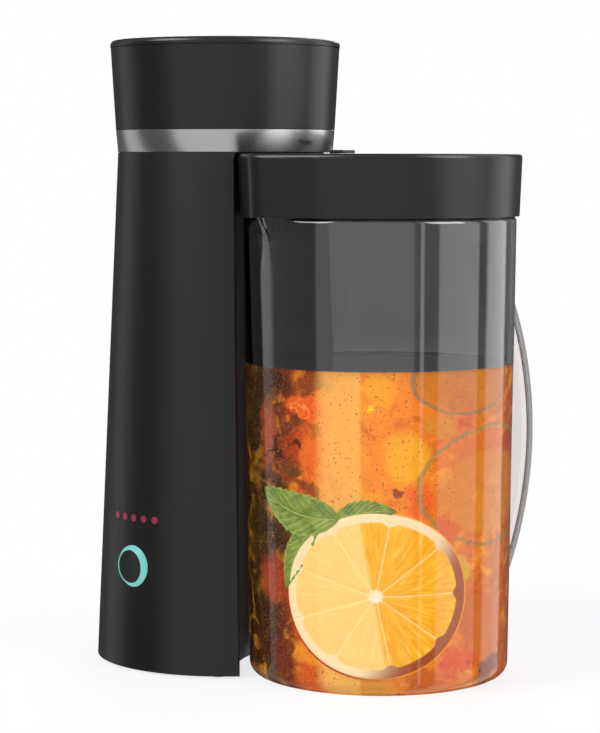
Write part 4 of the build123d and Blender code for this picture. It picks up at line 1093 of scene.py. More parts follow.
# ---------------------------------------------------------------------------- places
@dataclass
class Sight:
    """The camera of the photograph, and how a pixel is laid on an upright round wall."""

    place: Place = (838.99, -849.82, 251.6)
    forward: Point = (-0.7091, 0.7052)
    pitch: float = 4.93
    focal_pixels: float = 2374.9
    frame: tuple[int, int] = (600, 733)
    sensor: float = 36.0

    def ray(self, pixel: Point) -> Vector:
        """Return the direction of a pixel's ray in the frame.

        Args:
            pixel: Pixel of the photograph.

        Returns:
            The unit direction.
        """
        tilt = math.radians(self.pitch)
        ahead = Vector((self.forward[0] * math.cos(tilt), self.forward[1] * math.cos(tilt),
                        -math.sin(tilt)))
        right = Vector((self.forward[1], -self.forward[0], 0.0))
        up = right.cross(ahead)
        across = (pixel[0] - self.frame[0] / 2) / self.focal_pixels
        down = (pixel[1] - self.frame[1] / 2) / self.focal_pixels
        return (ahead + right * across - up * down).normalized()

    def on_wall(self, pixel: Point, axis: Point, radius: float) -> tuple[float, float]:
        """Lay a pixel on the near side of an upright cylinder.

        Args:
            pixel: Pixel of the photograph.
            axis: Plan place of the cylinder's axis.
            radius: The cylinder's radius.

        Returns:
            Bearing in degrees and height.
        """
        ray = self.ray(pixel)
        start = Vector(self.place)
        gap = Vector((start.x - axis[0], start.y - axis[1]))
        flat = Vector((ray.x, ray.y))
        half = gap.dot(flat)
        inside = half * half - flat.length_squared * (gap.length_squared - radius * radius)
        reach = (-half - math.sqrt(max(0.0, inside))) / flat.length_squared
        hit = start + ray * reach
        return math.degrees(math.atan2(hit.y - axis[1], hit.x - axis[0])), hit.z

    def toward(self, axis: Point) -> float:
        """Return the bearing, in degrees, from an axis to the camera."""
        return math.degrees(math.atan2(self.place[1] - axis[1], self.place[0] - axis[0]))

    def pixels_per_mm(self, axis: Point) -> float:
        """Return how many pixels a millimetre takes at an upright axis."""
        return self.focal_pixels / math.hypot(self.place[1] - axis[1], self.place[0] - axis[0])

    def make(self) -> None:
        """Create the scene's camera."""
        lens = bpy.data.cameras.new("camera")
        lens.sensor_width = self.sensor
        lens.lens = self.focal_pixels * self.sensor / self.frame[1]
        camera = bpy.data.objects.new("camera", lens)
        bpy.context.scene.collection.objects.link(camera)
        camera.location = [value * MM for value in self.place]
        yaw = math.atan2(-self.forward[0], self.forward[1])
        camera.rotation_euler = (math.radians(90 - self.pitch), 0.0, yaw)
        bpy.context.scene.camera = camera


@dataclass
class Layout:
    """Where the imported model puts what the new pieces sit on, in millimetres."""

    tower_axis: Point = (0.0, 0.0)
    pitcher_axis: Point = (0.0, 0.0)

    @staticmethod
    def box(node: str) -> tuple[Vector, Vector]:
        """Return a node's lowest and highest corner in millimetres."""
        low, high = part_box(node)
        return low / MM, high / MM

    @classmethod
    def read(cls) -> Layout:
        """Read the two axes from round nodes."""
        def middle(node: str) -> Point:
            """Return the plan middle of a node's box.

            Args:
                node: The node's name.

            Returns:
                The middle.
            """
            low, high = cls.box(node)
            return ((low.x + high.x) / 2, (low.y + high.y) / 2)

        return cls(tower_axis=middle("trim_band"), pitcher_axis=middle("basket_mesh"))


def hand_over(piece: bpy.types.Object, finish: Finish, body: Body,
              replaces: Sequence[str] = (), degrees: float = 35.0) -> bpy.types.Object:
    """Dress a finished piece and set it on its body.

    Args:
        piece: The finished mesh.
        finish: Its finish.
        body: What it moves with.
        replaces: CAD nodes that it stands for.
        degrees: Edges sharper than this stay crisp.

    Returns:
        The piece.
    """
    Bench.round_off(piece, degrees)
    if not piece.data.materials:
        piece.data.materials.append(finish.material())
    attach(piece, body.value)
    if replaces:
        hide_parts(*replaces)
    log.info("%s: %d faces on %s", piece.name, len(piece.data.polygons), body.value)
    return piece


# ---------------------------------------------------------------------------- pitcher
@dataclass
class Jug:
    """Clear jug with a stepped neck, a folded spout and a strap handle."""

    axis: Point
    foot_radius: float = 63.8
    shoulder_radius: float = 66.8
    neck_radius: float = 65.8
    shoulder: float = 223.4
    neck: float = 225.0
    rim: float = 243.0
    wall: float = 2.4
    floor: float = 3.2
    foot_round: float = 6.0
    ring_radius: float = 51.3
    ring_height: float = 0.8
    spout_bearing: float = 260.0
    spout_reach: float = 5.8
    spout_drop: float = 30.8
    spout_ramp: float = 14.0
    handle_bearing: float = 80.0
    handle_height: float = 115.0
    handle_reach: float = 92.46
    handle_bow: float = 176.54
    handle_thickness: float = 4.0
    handle_width: float = 17.0
    steps: int = 360

    def outer(self, height: float) -> float:
        """Return the outer wall's radius at a height.

        Args:
            height: Height above the table.

        Returns:
            The radius.
        """
        if height >= self.neck:
            return self.neck_radius
        if height > self.shoulder:
            share = (height - self.shoulder) / (self.neck - self.shoulder)
            return self.shoulder_radius + (self.neck_radius - self.shoulder_radius) * share
        return self.foot_radius + (self.shoulder_radius - self.foot_radius) * height / self.shoulder

    def inner(self, height: float) -> float:
        """Return the inner wall's radius at a height."""
        return self.outer(height) - self.wall

    def heights(self, low: float, high: float) -> list[float]:
        """List heights for the wall, close together beside the spout."""
        steps = [low]
        while steps[-1] < high - 0.01:
            coarse = steps[-1] < self.rim - self.spout_drop - 3
            steps.append(min(high, steps[-1] + (8.0 if coarse else 0.8)))
        return steps

    @staticmethod
    def arc(centre: Point, radius: float, start: float, end: float, count: int) -> list[Point]:
        """List the points of an arc in the section.

        Args:
            centre: (radius, height) of its middle.
            radius: Its radius.
            start: First angle in degrees.
            end: Last angle in degrees.
            count: Number of points.

        Returns:
            The points.
        """
        turns = [math.radians(start + (end - start) * i / (count - 1)) for i in range(count)]
        return [(centre[0] + radius * math.cos(t), centre[1] + radius * math.sin(t))
                for t in turns]

    def outline(self) -> list[Point]:
        """List the wall's section from the outside bottom, over the rim, to the inside floor."""
        foot = self.foot_round
        inner_foot = foot - self.wall
        rim_round = self.wall / 2
        points = [(0.0, self.ring_height), (self.ring_radius - 1, self.ring_height),
                  (self.ring_radius, 0.0)]
        points += self.arc((self.outer(foot) - foot, foot), foot, -90, 0, 9)
        points += [(self.outer(z), z) for z in self.heights(foot + 2, self.rim - rim_round)]
        points += self.arc((self.neck_radius - rim_round, self.rim - rim_round), rim_round,
                           10, 170, 9)
        falling = self.heights(self.floor + foot, self.rim - rim_round)[::-1]
        points += [(self.inner(z), z) for z in falling]
        low = self.floor + inner_foot
        points += self.arc((self.inner(low) - inner_foot, low), inner_foot, 0, -90, 7)
        points += [(self.ring_radius, self.floor), (self.ring_radius / 2, self.floor),
                   (0.0, self.floor)]
        return points

    def fold(self, point: Vector) -> Vector:
        """Push a wall point out to the spout's two flats.

        Args:
            point: Point of the plain jug.

        Returns:
            Its place on the folded jug.
        """
        x, y = point.x - self.axis[0], point.y - self.axis[1]
        radius = math.hypot(x, y)
        bearing = math.degrees(math.atan2(y, x))
        off = abs((bearing - self.spout_bearing + 180) % 360 - 180)
        if off > 40 or radius < self.inner(point.z) - 1:
            return point
        inside = radius < self.outer(point.z) - self.wall / 2
        drop = 1.2 * self.wall if inside else 0.0
        low = self.rim - self.spout_drop + drop
        reach = self.spout_reach * min(1.0, max(0.0, (point.z - low) / self.spout_ramp))
        if reach <= 0:
            return point
        widening = self.shoulder_radius - self.foot_radius
        body = self.foot_radius + widening * point.z / self.shoulder
        ridge = body + reach - (self.outer(point.z) - radius)
        if ridge <= radius:
            return point
        half = math.acos(radius / ridge)
        swing = half - math.radians(off)
        if swing <= 0:
            return point
        pushed = radius / math.cos(swing)
        scale = min(pushed, ridge * 0.992) / radius
        return Vector((self.axis[0] + x * scale, self.axis[1] + y * scale, point.z))

    def build(self, clear: Finish, edge: Finish) -> None:
        """Spin, fold and dress the jug, then its handle."""
        body = Bench.lathe("jug_body", self.outline(), self.axis, self.steps)
        Bench.reshape(body, self.fold)
        hand_over(body, clear, Body.PITCHER, ["jug"], 60.0)
        self.build_handle(clear, edge)

    def build_handle(self, clear: Finish, edge: Finish) -> None:
        """Bend a bar into the strap, with a light face and deeper-looking edges.

        Args:
            clear: Finish of the clear wall or face.
            edge: Finish of the edges, seen along their depth.
        """
        middle_bow = self.handle_bow - self.handle_thickness / 2
        centre = self.handle_reach - self.handle_bow
        end = self.foot_radius - 0.6
        swing = math.acos((end - centre) / middle_bow)
        turn = Matrix.Rotation(math.radians(self.handle_bearing), 3, "Z")
        length = 2 * swing * middle_bow

        def bend(point: Vector) -> Vector:
            """Bend a point of the straight bar into the strap.

            Args:
                point: Point in millimetres.

            Returns:
                Its place on the jug.
            """
            angle = point.z / length * 2 * swing
            bow = middle_bow + point.x
            spread = 1.0 + 0.25 * smooth((abs(angle) / swing - 0.86) / 0.14)
            local = Vector((centre + bow * math.cos(angle), point.y * spread,
                            self.handle_height + bow * math.sin(angle)))
            return turn @ local + Vector((self.axis[0], self.axis[1], 0.0))

        strap = Bench.block("jug_handle", (self.handle_thickness, self.handle_width, length),
                            (0.0, 0.0, 0.0))
        Bench.edit(strap, Pick.EDGES, lambda middle, _: abs(middle.z) < 1.0)
        bpy.ops.mesh.bevel(offset=1.1 * MM, segments=3, affect="EDGES")
        Bench.close()
        for _ in range(6):
            Bench.edit(strap, Pick.EDGES, lambda _m, _n: False)
            mesh = bmesh.from_edit_mesh(strap.data)
            for rib in mesh.edges:
                run = rib.verts[1].co - rib.verts[0].co
                rib.select_set(abs(run.z) > 0.9 * run.length and run.length > 0)
            bmesh.update_edit_mesh(strap.data)
            bpy.ops.mesh.subdivide(number_cuts=1)
            Bench.close()
        strap.data.materials.append(clear.material())
        strap.data.materials.append(edge.material())
        for face in strap.data.polygons:
            face.material_index = 1 if abs(face.normal.y) > 0.6 else 0
        Bench.reshape(strap, bend)
        hand_over(strap, clear, Body.PITCHER, (), 50.0)


@dataclass
class CitrusSlice:
    """A wheel of lemon pressed against the jug's wall."""

    name: str
    bearing: float
    height: float
    wall_radius: float
    radius: float = 40.3
    widen: float = 1.13
    thickness: float = 3.4
    segments: int = 9
    turn: float = -0.5
    tilt: float = 0.0
    sunk: float = 1.15
    rings: int = 26
    spokes: int = 162

    def face(self, share: float, angle: float) -> float:
        """Return how far the cut face stands proud at a share of the radius."""
        across = (angle / (2 * math.pi) * self.segments) % 1.0
        ridge = 1 - (2 * abs(across - 0.5)) ** 4
        flesh = smooth((0.86 - share) / 0.05) * smooth((share - 0.06) / 0.06)
        edge = smooth((share - 0.97) / 0.03)
        return 0.45 * ridge * flesh - 0.9 * edge

    def build(self, axis: Point, flesh: Finish, peel: Finish) -> None:
        """Model the wheel flat from a disc, wrap it on the wall and dress it.

        Args:
            axis: Plan place of the pitcher's axis.
            flesh: Finish of the cut face.
            peel: Finish of the rim.
        """
        wheel = Bench.disc(self.name, self.radius, (0, 0, 0), self.spokes)
        Bench.edit(wheel, Pick.FACES)
        bpy.ops.mesh.delete(type="ONLY_FACE")
        bpy.ops.mesh.select_all(action="SELECT")
        for ring in range(self.rings, 0, -1):
            shrink = (ring - 1) / ring if ring > 1 else 0.02
            bpy.ops.mesh.extrude_edges_move()
            bpy.ops.transform.resize(value=(shrink, shrink, 1), center_override=(0, 0, 0))
        bpy.ops.mesh.edge_face_add()
        bpy.ops.mesh.poke()
        Bench.close()
        self.map_face(wheel)
        Bench.tidy(wheel)
        if sum(face.normal.z for face in wheel.data.polygons) < 0:
            Bench.edit(wheel)
            bpy.ops.mesh.flip_normals()
            Bench.close()

        def relief(point: Vector) -> Vector:
            """Raise the flesh and sink the rim.

            Args:
                point: Point in millimetres.

            Returns:
                The raised point.
            """
            share = math.hypot(point.x, point.y) / self.radius
            rise = self.face(share, math.atan2(point.y, point.x))
            return Vector((point.x, point.y, rise))

        Bench.reshape(wheel, relief)
        Bench.modifier(wheel, "SOLIDIFY", thickness=self.thickness * MM, offset=-1.0)
        wheel.data.materials.append(flesh.material())
        wheel.data.materials.append(peel.material())
        rim = 0.985 * self.radius
        for skin in wheel.data.polygons:
            out = math.hypot(skin.center.x, skin.center.y) / MM
            skin.material_index = 1 if out > rim and abs(skin.normal.z) < 0.6 else 0
        Bench.reshape(wheel, self.wrap(axis))
        hand_over(wheel, flesh, Body.PITCHER, (), 60.0)

    def map_face(self, wheel: bpy.types.Object) -> None:
        """Give the wheel a map of turn and distance from its middle.

        Args:
            wheel: The flat slice.
        """
        layer = wheel.data.uv_layers.new(name="slice")
        offset = self.turn / 360
        for face in wheel.data.polygons:
            middle = math.atan2(face.center.y, face.center.x) / (2 * math.pi)
            for loop in face.loop_indices:
                point = wheel.data.vertices[wheel.data.loops[loop].vertex_index].co / MM
                turn = math.atan2(point.y, point.x) / (2 * math.pi)
                if point.length < 0.3:
                    turn = middle
                turn += round(middle - turn)
                layer.data[loop].uv = (turn + offset + 1, point.length / self.radius)

    def wrap(self, axis: Point) -> Shape:
        """Return the rule that lays the flat wheel on the inside of the wall.

        Args:
            axis: Plan place of the pitcher's axis.

        Returns:
            The rule, in millimetres.
        """
        tilt = math.radians(self.tilt)

        def on_wall(point: Vector) -> Vector:
            """Lay a flat point on the wall.

            Args:
                point: Point in millimetres.

            Returns:
                Its place on the wall.
            """
            across = point.x * math.cos(tilt) - point.y * math.sin(tilt)
            up = point.x * math.sin(tilt) + point.y * math.cos(tilt)
            radius = self.wall_radius + self.sunk + point.z
            angle = math.radians(self.bearing) + across * self.widen / self.wall_radius
            return Vector((axis[0] + radius * math.cos(angle), axis[1] + radius * math.sin(angle),
                           self.height + up))

        return on_wall


@dataclass
class Leaf:
    """A mint leaf lying along the jug's wall."""

    name: str
    root: Point
    tip: Point
    width: float
    curl: float = 2.0
    depth: float = 1.0
    teeth: int = 11
    bow: float = 0.0
    count: tuple[int, int] = (66, 22)

    def half_width(self, share: float) -> float:
        """Return the half width at a share of the length, with its toothed edge."""
        body = math.sin(math.pi * share ** 0.8) ** 0.75 if 0 < share < 1 else 0.0
        saw = 1 - 0.12 * ((share * self.teeth) % 1.0)
        return self.width / 2 * body * saw

    def build(self, sight: Sight, axis: Point, outer: float, wall: float,
              finish: Finish) -> None:
        """Shape a grid into the leaf and lay it on the wall between two pixels.

        Args:
            sight: The camera that places pixels.
            axis: Plan place of the pitcher's axis.
            outer: Radius of the jug's outer wall.
            wall: Radius of the jug's inner wall.
            finish: Its finish.
        """
        root = sight.on_wall(self.root, axis, outer)
        tip = sight.on_wall(self.tip, axis, outer)
        start = Vector((math.radians(root[0]) * wall, root[1]))
        end = Vector((math.radians(tip[0]) * wall, tip[1]))
        run = end - start
        side = Vector((-run.y, run.x)).normalized()
        leaf = Bench.sheet(self.name, self.count)
        layer = leaf.data.uv_layers.new(name="leaf")
        for loop in leaf.data.loops:
            point = leaf.data.vertices[loop.vertex_index].co
            layer.data[loop.index].uv = ((point.x + 1) / 2, point.y)

        def lay(point: Vector) -> Vector:
            """Lay a grid point on the leaf.

            Args:
                point: Point in millimetres.

            Returns:
                Its place on the wall.
            """
            share = (point.x * MM + 1) / 2
            out = point.y * MM
            half = self.half_width(share)
            middle = start + run * share + side * (self.bow * math.sin(math.pi * share))
            flat = middle + side * (half * out)
            rise = self.curl * (abs(out) ** 1.5 - 1.0) * math.sin(math.pi * share)
            rise += 0.2 * math.sin(share * self.teeth * 2 * math.pi) * abs(out)
            radius = wall - self.depth + 0.12 * rise
            angle = flat.x / wall
            return Vector((axis[0] + radius * math.cos(angle), axis[1] + radius * math.sin(angle),
                           flat.y))

        Bench.reshape(leaf, lay)
        Bench.tidy(leaf, outwards=False)
        Bench.modifier(leaf, "SOLIDIFY", thickness=0.35 * MM, offset=0.0)
        Bench.tidy(leaf)
        hand_over(leaf, finish, Body.PITCHER, (), 60.0)


@dataclass
class TeaFilling:
    """What the jug holds: tea, and the lemon, mint and ice in it."""

    jug: Jug
    sight: Sight
    sunk: float = 0.15
    surface: float = 154.0
    # Strength of the tea's painted glow, as if lit from behind.
    glow: float = 0.42
    slice_pixel: Point = (375.5, 597.0)
    # Painted shade: the dark patches at the left beside the tower and the strip at the right edge;
    # the bright ring on the ice is a painted highlight.
    patches: tuple[Patch, ...] = (
        Patch((262, 380), (26, 14), "#25100a"),
        Patch((255, 415), (12, 34), "#25100a"),
        Patch((311, 382), (19, 11), "#7b2c14", soft=0.35),
        Patch((302, 408), (18, 13), "#ea6325", turn=-12, soft=0.2),
        Patch((298, 411), (7, 6), "#f79a4c", 0.7, ring=0.28),
        Patch((296, 427), (22, 6), "#6b2d16", turn=-8, soft=0.3),
        Patch((268, 434), (8, 34), "#9a3f1a", soft=0.4),
        Patch((269, 452), (9, 2.2), "#1d0d07", turn=10, soft=0.3),
        Patch((277, 447), (2.2, 17), "#2c1408", turn=-12, soft=0.4),
        Patch((296, 449), (7, 4), "#3c190b", turn=-20, soft=0.3),
        Patch((288, 468), (13, 8), "#5a3b16", soft=0.4),
        Patch((273, 478), (12, 8), "#3e2410", turn=-30, soft=0.3),
        Patch((309, 450), (10, 22), "#e96e24", soft=0.3),
        Patch((306, 491), (20, 5), "#8a3a1c", turn=-32, soft=0.4),
        Patch((257, 530), (9, 66), "#2a1d0e"),
        Patch((275, 535), (16, 17), "#2d1a09", soft=0.3),
        Patch((272, 580), (17, 22), "#a33a20", soft=0.35),
        Patch((268, 640), (16, 32), "#3a150e", soft=0.35),
        Patch((280, 655), (9, 30), "#6e2112", turn=6, soft=0.25),
        Patch((311, 678), (14, 14), "#d45a26", soft=0.4),
        Patch((364, 688), (30, 9), "#de962c", soft=0.4),
        Patch((424, 682), (22, 13), "#cc5f24", soft=0.4),
        Patch((492, 667), (13, 12), "#73331c", turn=30, soft=0.35),
        Patch((381, 388), (17, 15), "#fca817", soft=0.35),
        Patch((373, 411), (7, 5), "#ffd80c", soft=0.3),
        Patch((409, 461), (22, 25), "#f9b224", soft=0.3, calm=True),
        Patch((397, 493), (7, 3.5), "#943a22", turn=-10, soft=0.4),
        Patch((425, 500), (17, 16), "#f06626", soft=0.4),
        Patch((470, 380), (47, 30), "#c07a2a", 0.6, soft=0.12, calm=True),
        Patch((470, 380), (47, 32), "#8d7a5c", 0.75, ring=0.07, calm=True),
        Patch((443, 425), (14, 15), "#db8e29", soft=0.4),
        Patch((468, 424), (8, 4), "#d25326", soft=0.4),
        Patch((486, 450), (22, 22), "#d76d24", soft=0.4),
        Patch((508, 460), (5, 60), "#a94a2c", 0.75),
        Patch((492, 490), (42, 40), "#d88c2a", 0.6, soft=0.12, calm=True),
        Patch((494, 484), (50, 58), "#96824c", 0.7, ring=0.05, calm=True),
        Patch((448, 532), (14, 14), "#de6125", soft=0.4),
        Patch((463, 574), (8, 8), "#c8b81e", 0.85, turn=20, soft=0.5),
        Patch((484, 618), (19, 30), "#cf6c27", soft=0.4),
        Patch((463, 661), (19, 12), "#de5226", soft=0.35),
    )
    leaves: tuple[Leaf, ...] = (
        Leaf("mint_leaf_right", (334, 519), (397, 512), 12.5, teeth=9, bow=1.5, depth=-0.4),
        Leaf("mint_leaf_lower", (314, 524), (284, 588), 14.0, teeth=9, bow=-2.5, depth=-0.55),
        Leaf("mint_leaf_broad", (338, 520), (263, 487.5), 21.5, bow=4.0, depth=-0.8),
    )

    def radius(self, height: float) -> float:
        """Return the tea's radius at a height: it wets the wall."""
        return self.jug.inner(height) + self.sunk

    def lay(self, patch: Patch, wall: float) -> LaidPatch:
        """Lay a patch on the wall.

        Args:
            patch: The patch, in pixels.
            wall: Radius of the outer wall.

        Returns:
            The patch with its place and half sizes along the wall.
        """
        axis = self.jug.axis
        bearing, height = self.sight.on_wall(patch.pixel, axis, wall)
        turn = math.radians((bearing - self.sight.toward(axis) + 180) % 360 - 180)
        scale = self.sight.pixels_per_mm(axis)
        across = patch.half[0] / scale / max(0.3, math.cos(turn))
        return LaidPatch((turn * wall, height), (across, patch.half[1] / scale), patch)

    def outline(self) -> list[Point]:
        """List the tea's section from its bottom to the middle of its surface."""
        corner = self.jug.foot_round - self.jug.wall
        low = self.jug.floor - self.sunk
        points = [(0.0, low), (self.radius(low) - corner, low)]
        points += Jug.arc((self.radius(low + corner) - corner, low + corner), corner, -80, 0, 7)
        count = 24
        top = self.surface
        points += [(self.radius(z), z) for z in
                   (low + corner + (top - low - corner) * i / count for i in range(1, count + 1))]
        edge = self.radius(top)
        points += [(edge - 0.5, top - 0.35), (edge - 1.3, top - 0.8), (edge - 2.6, top - 1.0)]
        points += [(edge * share, top - 1.0) for share in (0.85, 0.7, 0.55, 0.4, 0.25, 0.12, 0.0)]
        return points

    def build(self) -> None:
        """Pour the tea, then add fruit and leaves."""
        axis = self.jug.axis
        outer = self.jug.outer(90.0)
        laid = tuple(self.lay(patch, outer) for patch in self.patches)
        finish = BrewedTea("brewed_tea", axis, self.sight.toward(axis), outer, self.glow, laid)
        tea = Bench.lathe("tea", self.outline(), axis, 144)
        self.ripple(tea)
        tea.data.materials.append(finish.material())
        tea.data.materials.append(TeaSurface("tea_surface").material())
        for face in tea.data.polygons:
            face.material_index = int(face.normal.z > 0.5)
        hand_over(tea, finish, Body.PITCHER, (), 50.0)
        self.add_fruit(axis)
        # The leaves get a painted glow, as if lit from behind.
        green = MintLeaf("mint_green", "#86953c", "#a3ad58", 0.3)
        for leaf in self.leaves:
            leaf.build(self.sight, axis, outer, self.jug.inner(90.0), green)

    def ripple(self, tea: bpy.types.Object) -> None:
        """Give the tea's surface low ripples.

        Args:
            tea: The spun tea.
        """
        axis = self.jug.axis

        def wave(point: Vector) -> Vector:
            """Lift a point of the surface.

            Args:
                point: Point in millimetres.

            Returns:
                The lifted point.
            """
            x, y = point.x - axis[0], point.y - axis[1]
            if point.z < self.surface - 1.2 or math.hypot(x, y) > self.radius(self.surface) - 2:
                return point
            rise = 0.3 * math.sin(x / 9.0 + 1.3) * math.cos(y / 7.0) + 0.2 * math.sin((x + y) / 5.0)
            return Vector((point.x, point.y, point.z + rise))

        Bench.reshape(tea, wave)

    def add_fruit(self, axis: Point) -> None:
        """Press one wheel of lemon against the wall in front."""
        bearing, height = self.sight.on_wall(self.slice_pixel, axis, self.jug.outer(55.0))
        # The lemon's flesh and peel get a painted glow, as if lit from behind.
        CitrusSlice("lemon_slice_front", bearing, height, self.jug.inner(55.0)).build(
            axis, CitrusFlesh("lemon_flesh", 9, 0.62), CitrusPeel("lemon_peel", glow=0.3))


# ---------------------------------------------------------------------------- tower
@dataclass
class TrimBand:
    """Brushed metal band between the casing and the head."""

    axis: Point
    low_radius: float = 54.3
    high_radius: float = 55.3
    thickness: float = 0.8
    edge: float = 0.25

    def build(self) -> None:
        """Spin the band's section with rolled edges."""
        low, high = Layout.box("trim_band")
        bottom, top, lip = low.z, high.z, self.edge
        inner_low = self.low_radius - self.thickness
        inner_high = self.high_radius - self.thickness
        outline = [
            (inner_low, bottom + lip), (inner_low + lip, bottom), (self.low_radius - lip, bottom),
            (self.low_radius, bottom + lip), (self.high_radius, top - lip),
            (self.high_radius - lip, top), (inner_high + lip, top), (inner_high, top - lip),
            (inner_low, bottom + lip)]
        band = Bench.lathe("trim_band_brushed", outline, self.axis, 256)
        finish = BrushedSteel("brushed_steel", "#d9d9d8", self.axis)
        hand_over(band, finish, Body.TOWER, ["trim_band"], 40.0)


class Dressing:
    """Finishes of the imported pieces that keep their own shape."""

    def __init__(self) -> None:
        """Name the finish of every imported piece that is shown."""
        charcoal = MouldedPlastic("charcoal_plastic", "#151312", 0.34)
        head = MouldedPlastic("head_plastic", "#161413", 0.3, 0.7, 0.03)
        lid = MouldedPlastic("lid_plastic", "#171514", 0.3, 0.7, 0.03)
        base = MouldedPlastic("base_plastic", "#141414", 0.6, 0.8)
        pin = PlainMetal("pin_steel", "#c9c8c4")
        fastener = PlainMetal("fastener_steel", "#a9a8a2", 0.34)
        rubber = SoftRubber("foot_rubber", "#101010")
        silicone = SoftRubber("seal_silicone", "#b9b8b2", 0.5, 0.2)
        self.finishes: dict[str, Finish] = {
            "tower_shell": charcoal, "base_plate": base, "rubber_feet": rubber,
            "base_screws": fastener, "head_shell": head, "tower_lid": head,
            "head_deck": MouldedPlastic("deck_plastic", "#20201f", 0.5), "lid_hinge_pin": pin,
            "water_tank": MouldedPlastic("tank_plastic", "#cfd2cf", 0.35, 0.9, 0.01),
            "tank_seal": silicone, "check_valve": MouldedPlastic("valve_plastic", "#d8d5c8", 0.4),
            "inlet_hose": SoftRubber("hose_silicone", "#d9d7cf", 0.45, 0.3),
            "riser_tube": SoftRubber("hose_silicone", "#d9d7cf", 0.45, 0.3),
            "heater_tube": PlainMetal("heater_aluminium", "#b4b5b3", 0.42, 2.4),
            "heater_terminals": MouldedPlastic("ceramic", "#e6e0d2", 0.5, 0.4),
            "heater_bracket": PlainMetal("bracket_steel", "#b9b9b5", 0.36),
            "heater_screws": fastener,
            "thermostat": MouldedPlastic("phenolic", "#2a211a", 0.4, 0.5),
            "thermal_fuse": MouldedPlastic("fuse_body", "#c9c2a4", 0.35, 0.5),
            "outlet_nozzle": MouldedPlastic("valve_plastic", "#d8d5c8", 0.4),
            "control_board": CircuitBoard("board_green"), "board_screws": fastener,
            "relay": MouldedPlastic("relay_plastic", "#1e3c78", 0.3, 0.5),
            "tact_switch": MouldedPlastic("switch_plastic", "#1a1a1a", 0.4, 0.4),
            "light_ring": LitPlastic("ring_light", "#7fd6cf", "#2a4a48", 0.85),
            "button_cap": MouldedPlastic("button_plastic", "#1d1b1c", 0.4, 0.4, 0.01),
            "button_spring": PlainMetal("spring_steel", "#8f8f8c"),
            "light_pipe": LitPlastic("lamp_red", "#8a3048", "#4a1a24", 0.7),
            "cord_gland": rubber, "pitcher_lid": lid, "lid_seal": silicone, "lid_flap": lid,
            "flap_hinge_pin": pin, "leads": SoftRubber("lead_sleeve", "#8c1c12", 0.5),
            "brew_basket": FaintPlastic("basket_plastic", "#3c3c3c", 0.05),
            "basket_mesh": FaintPlastic("mesh_plastic", "#3c3c3c", 0.05),
        }

    def apply(self, nodes: dict[str, bpy.types.Object]) -> None:
        """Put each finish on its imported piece.

        Args:
            nodes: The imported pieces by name.
        """
        for name, finish in self.finishes.items():
            piece = nodes[name]
            if piece.hide_render:
                continue
            piece.data.materials.clear()
            piece.data.materials.append(finish.material())
            log.info("%s: dressed in %s", name, finish.name)  # type: ignore[attr-defined]


# ---------------------------------------------------------------------------- studio
@dataclass(frozen=True)
class Softbox:
    """An upright light panel round the object, by its bearing from the camera's side."""

    bearing: float
    half: float
    fade: float
    strength: float


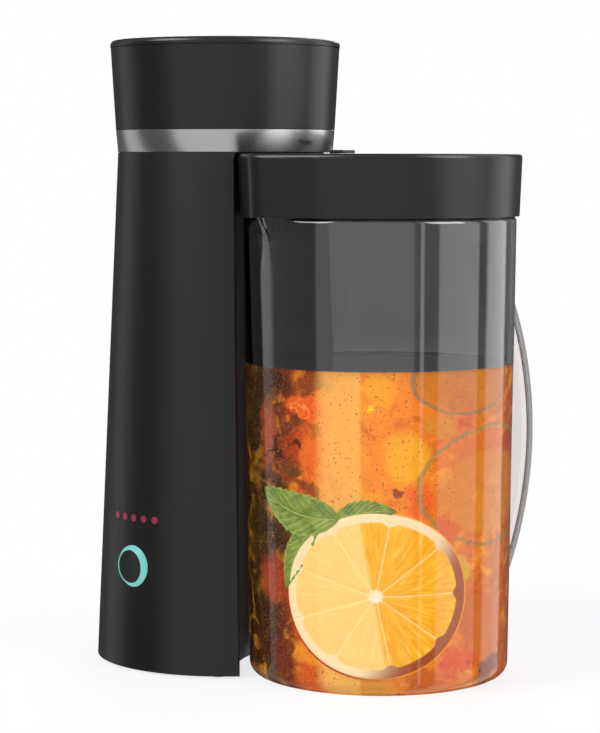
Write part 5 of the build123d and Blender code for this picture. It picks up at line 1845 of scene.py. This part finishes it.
@dataclass
class Studio:
    """Pale floor, white surroundings, soft panels that show in what shines, and lamps."""

    sight: Sight
    floor_radius: float = 2600.0
    shadow_from: float = 150.0
    shadow_to: float = 420.0
    shadow_white: float = 0.78
    gloom: float = 0.10
    fill: float = 0.42
    panels: tuple[Softbox, ...] = (
        Softbox(116, 12, 6, 1.4), Softbox(70, 19, 3, 1.25), Softbox(34.8, 1.0, 1.2, 1.3),
        Softbox(-14, 40, 4, 0.55), Softbox(-118, 10, 8, 0.45))

    def build(self) -> None:
        """Make floor, surroundings, lamps and camera."""
        bpy.context.scene.view_settings.view_transform = "Standard"
        self.sight.make()
        self.make_floor()
        self.make_world()
        self.lamp("key_lamp", (-250, -900, 900), 620, 9.0)
        self.lamp("side_lamp", (1000, 200, 700), 620, 6.0)
        self.lamp("back_lamp", (-600, 700, 800), 700, 5.0)

    def lamp(self, name: str, place: Place, size: float, power: float) -> None:
        """Add a soft square lamp that faces the object.

        Args:
            name: The lamp's name.
            place: Its middle.
            size: Side length.
            power: Watts.
        """
        data = bpy.data.lights.new(name, "AREA")
        data.shape = "SQUARE"
        data.size = size * MM
        data.energy = power
        data.specular_factor = 0.25
        lamp = bpy.data.objects.new(name, data)
        bpy.context.scene.collection.objects.link(lamp)
        lamp.location = [value * MM for value in place]
        aim = Vector((0, 0, 140)) - Vector(place)
        lamp.rotation_euler = aim.to_track_quat("-Z", "Y").to_euler()

    def make_floor(self) -> None:
        """Lay a pale round floor that keeps a soft shadow."""
        floor = Bench.disc("floor", self.floor_radius, (0, 0, -0.05), 96)
        shader = Shader("floor_white")
        place = shader.place()
        tone = shader.mix(shader.noise(place, 400.0), "#f4f4f4", "#fafafa")
        matt = shader.principled(Base_Color=tone, Roughness=0.9, IOR_level=0.1)
        white = shader.node("Emission", {"Color": WHITE, "Strength": 1.0}).outputs[0]
        path = shader.node("LightPath").outputs
        seen = shader.math("MAXIMUM", path["Is Camera Ray"], path["Is Transmission Ray"])
        away = shader.node("VectorMath", {0: place}, operation="LENGTH").outputs["Value"]
        white_share = shader.range(away, self.shadow_from * MM, self.shadow_to * MM,
                                   self.shadow_white, 1.0)
        share = shader.math("MULTIPLY", seen, white_share)
        lit = shader.node("MixShader", {0: share, 1: matt, 2: white}).outputs[0]
        mirrored = shader.math("MULTIPLY", path["Is Glossy Ray"],
                               shader.math("SUBTRACT", 1.0, path["Is Transmission Ray"]))
        unseen = shader.node("BsdfTransparent").outputs[0]
        floor.data.materials.append(shader.finish(
            shader.node("MixShader", {0: mirrored, 1: lit, 2: unseen}).outputs[0]))

    def make_world(self) -> None:
        """Surround all with white for the eye, panels for what shines and an even fill."""
        world = bpy.data.worlds.new("studio")
        world.use_nodes = True
        bpy.context.scene.world = world
        shader = Shader.__new__(Shader)
        shader.tree = world.node_tree
        shader.tree.nodes.clear()
        direction = shader.node("TexCoord").outputs["Generated"]
        x, y, _ = shader.split(direction)
        bearing = shader.math("ARCTAN2", y, x)
        level: object = self.gloom
        front = self.sight.toward((0.0, 0.0))
        for panel in self.panels:
            centre = math.radians(front + panel.bearing)
            apart = shader.math("SUBTRACT", bearing, centre)
            wrapped = shader.math("ABSOLUTE", shader.math("WRAP", apart, math.pi, -math.pi))
            light = shader.range(wrapped, math.radians(panel.half + panel.fade),
                                 math.radians(panel.half), 0.0, panel.strength)
            level = shader.math("ADD", level, light)
        path = shader.node("LightPath").outputs
        seen = shader.math("MAXIMUM", path["Is Camera Ray"], path["Is Transmission Ray"])
        shine = shader.math("MULTIPLY", path["Is Glossy Ray"], level)
        plain = shader.math("MULTIPLY", shader.math("SUBTRACT", 1.0, path["Is Glossy Ray"]),
                            self.fill)
        lit = shader.math("MULTIPLY", shader.math("SUBTRACT", 1.0, seen),
                          shader.math("ADD", shine, plain))
        strength = shader.math("ADD", seen, lit)
        back = shader.node("Background", {"Color": WHITE, "Strength": strength})
        shader.node("OutputWorld", {"Surface": back.outputs[0]})


def main() -> None:
    """Load the frame, build every sub-assembly and report each piece."""
    logging.basicConfig(level=logging.INFO, format="%(message)s")
    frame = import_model()
    Bench.clear()
    layout = Layout.read()
    sight = Sight()
    jug = Jug(layout.pitcher_axis)
    clear = ClearPlastic("jug_clear", "#f6f4f1", "#868686", "#666666", 154.0, 0.5,
                         axis=jug.axis)
    strap_edge = ClearPlastic("jug_edge", "#7c7c7c", "#7c7c7c", "#6b6b6b")
    strap = ClearPlastic("strap_clear", "#ececec", "#ececec", "#cfcfcf")
    jug.build(clear, strap_edge)
    bpy.data.objects["jug_handle"].data.materials[0] = strap.material()
    TeaFilling(jug, sight).build()
    TrimBand(layout.tower_axis).build()
    Dressing().apply(frame["nodes"])
    Studio(sight).build()


if __name__ == "__main__":
    main()
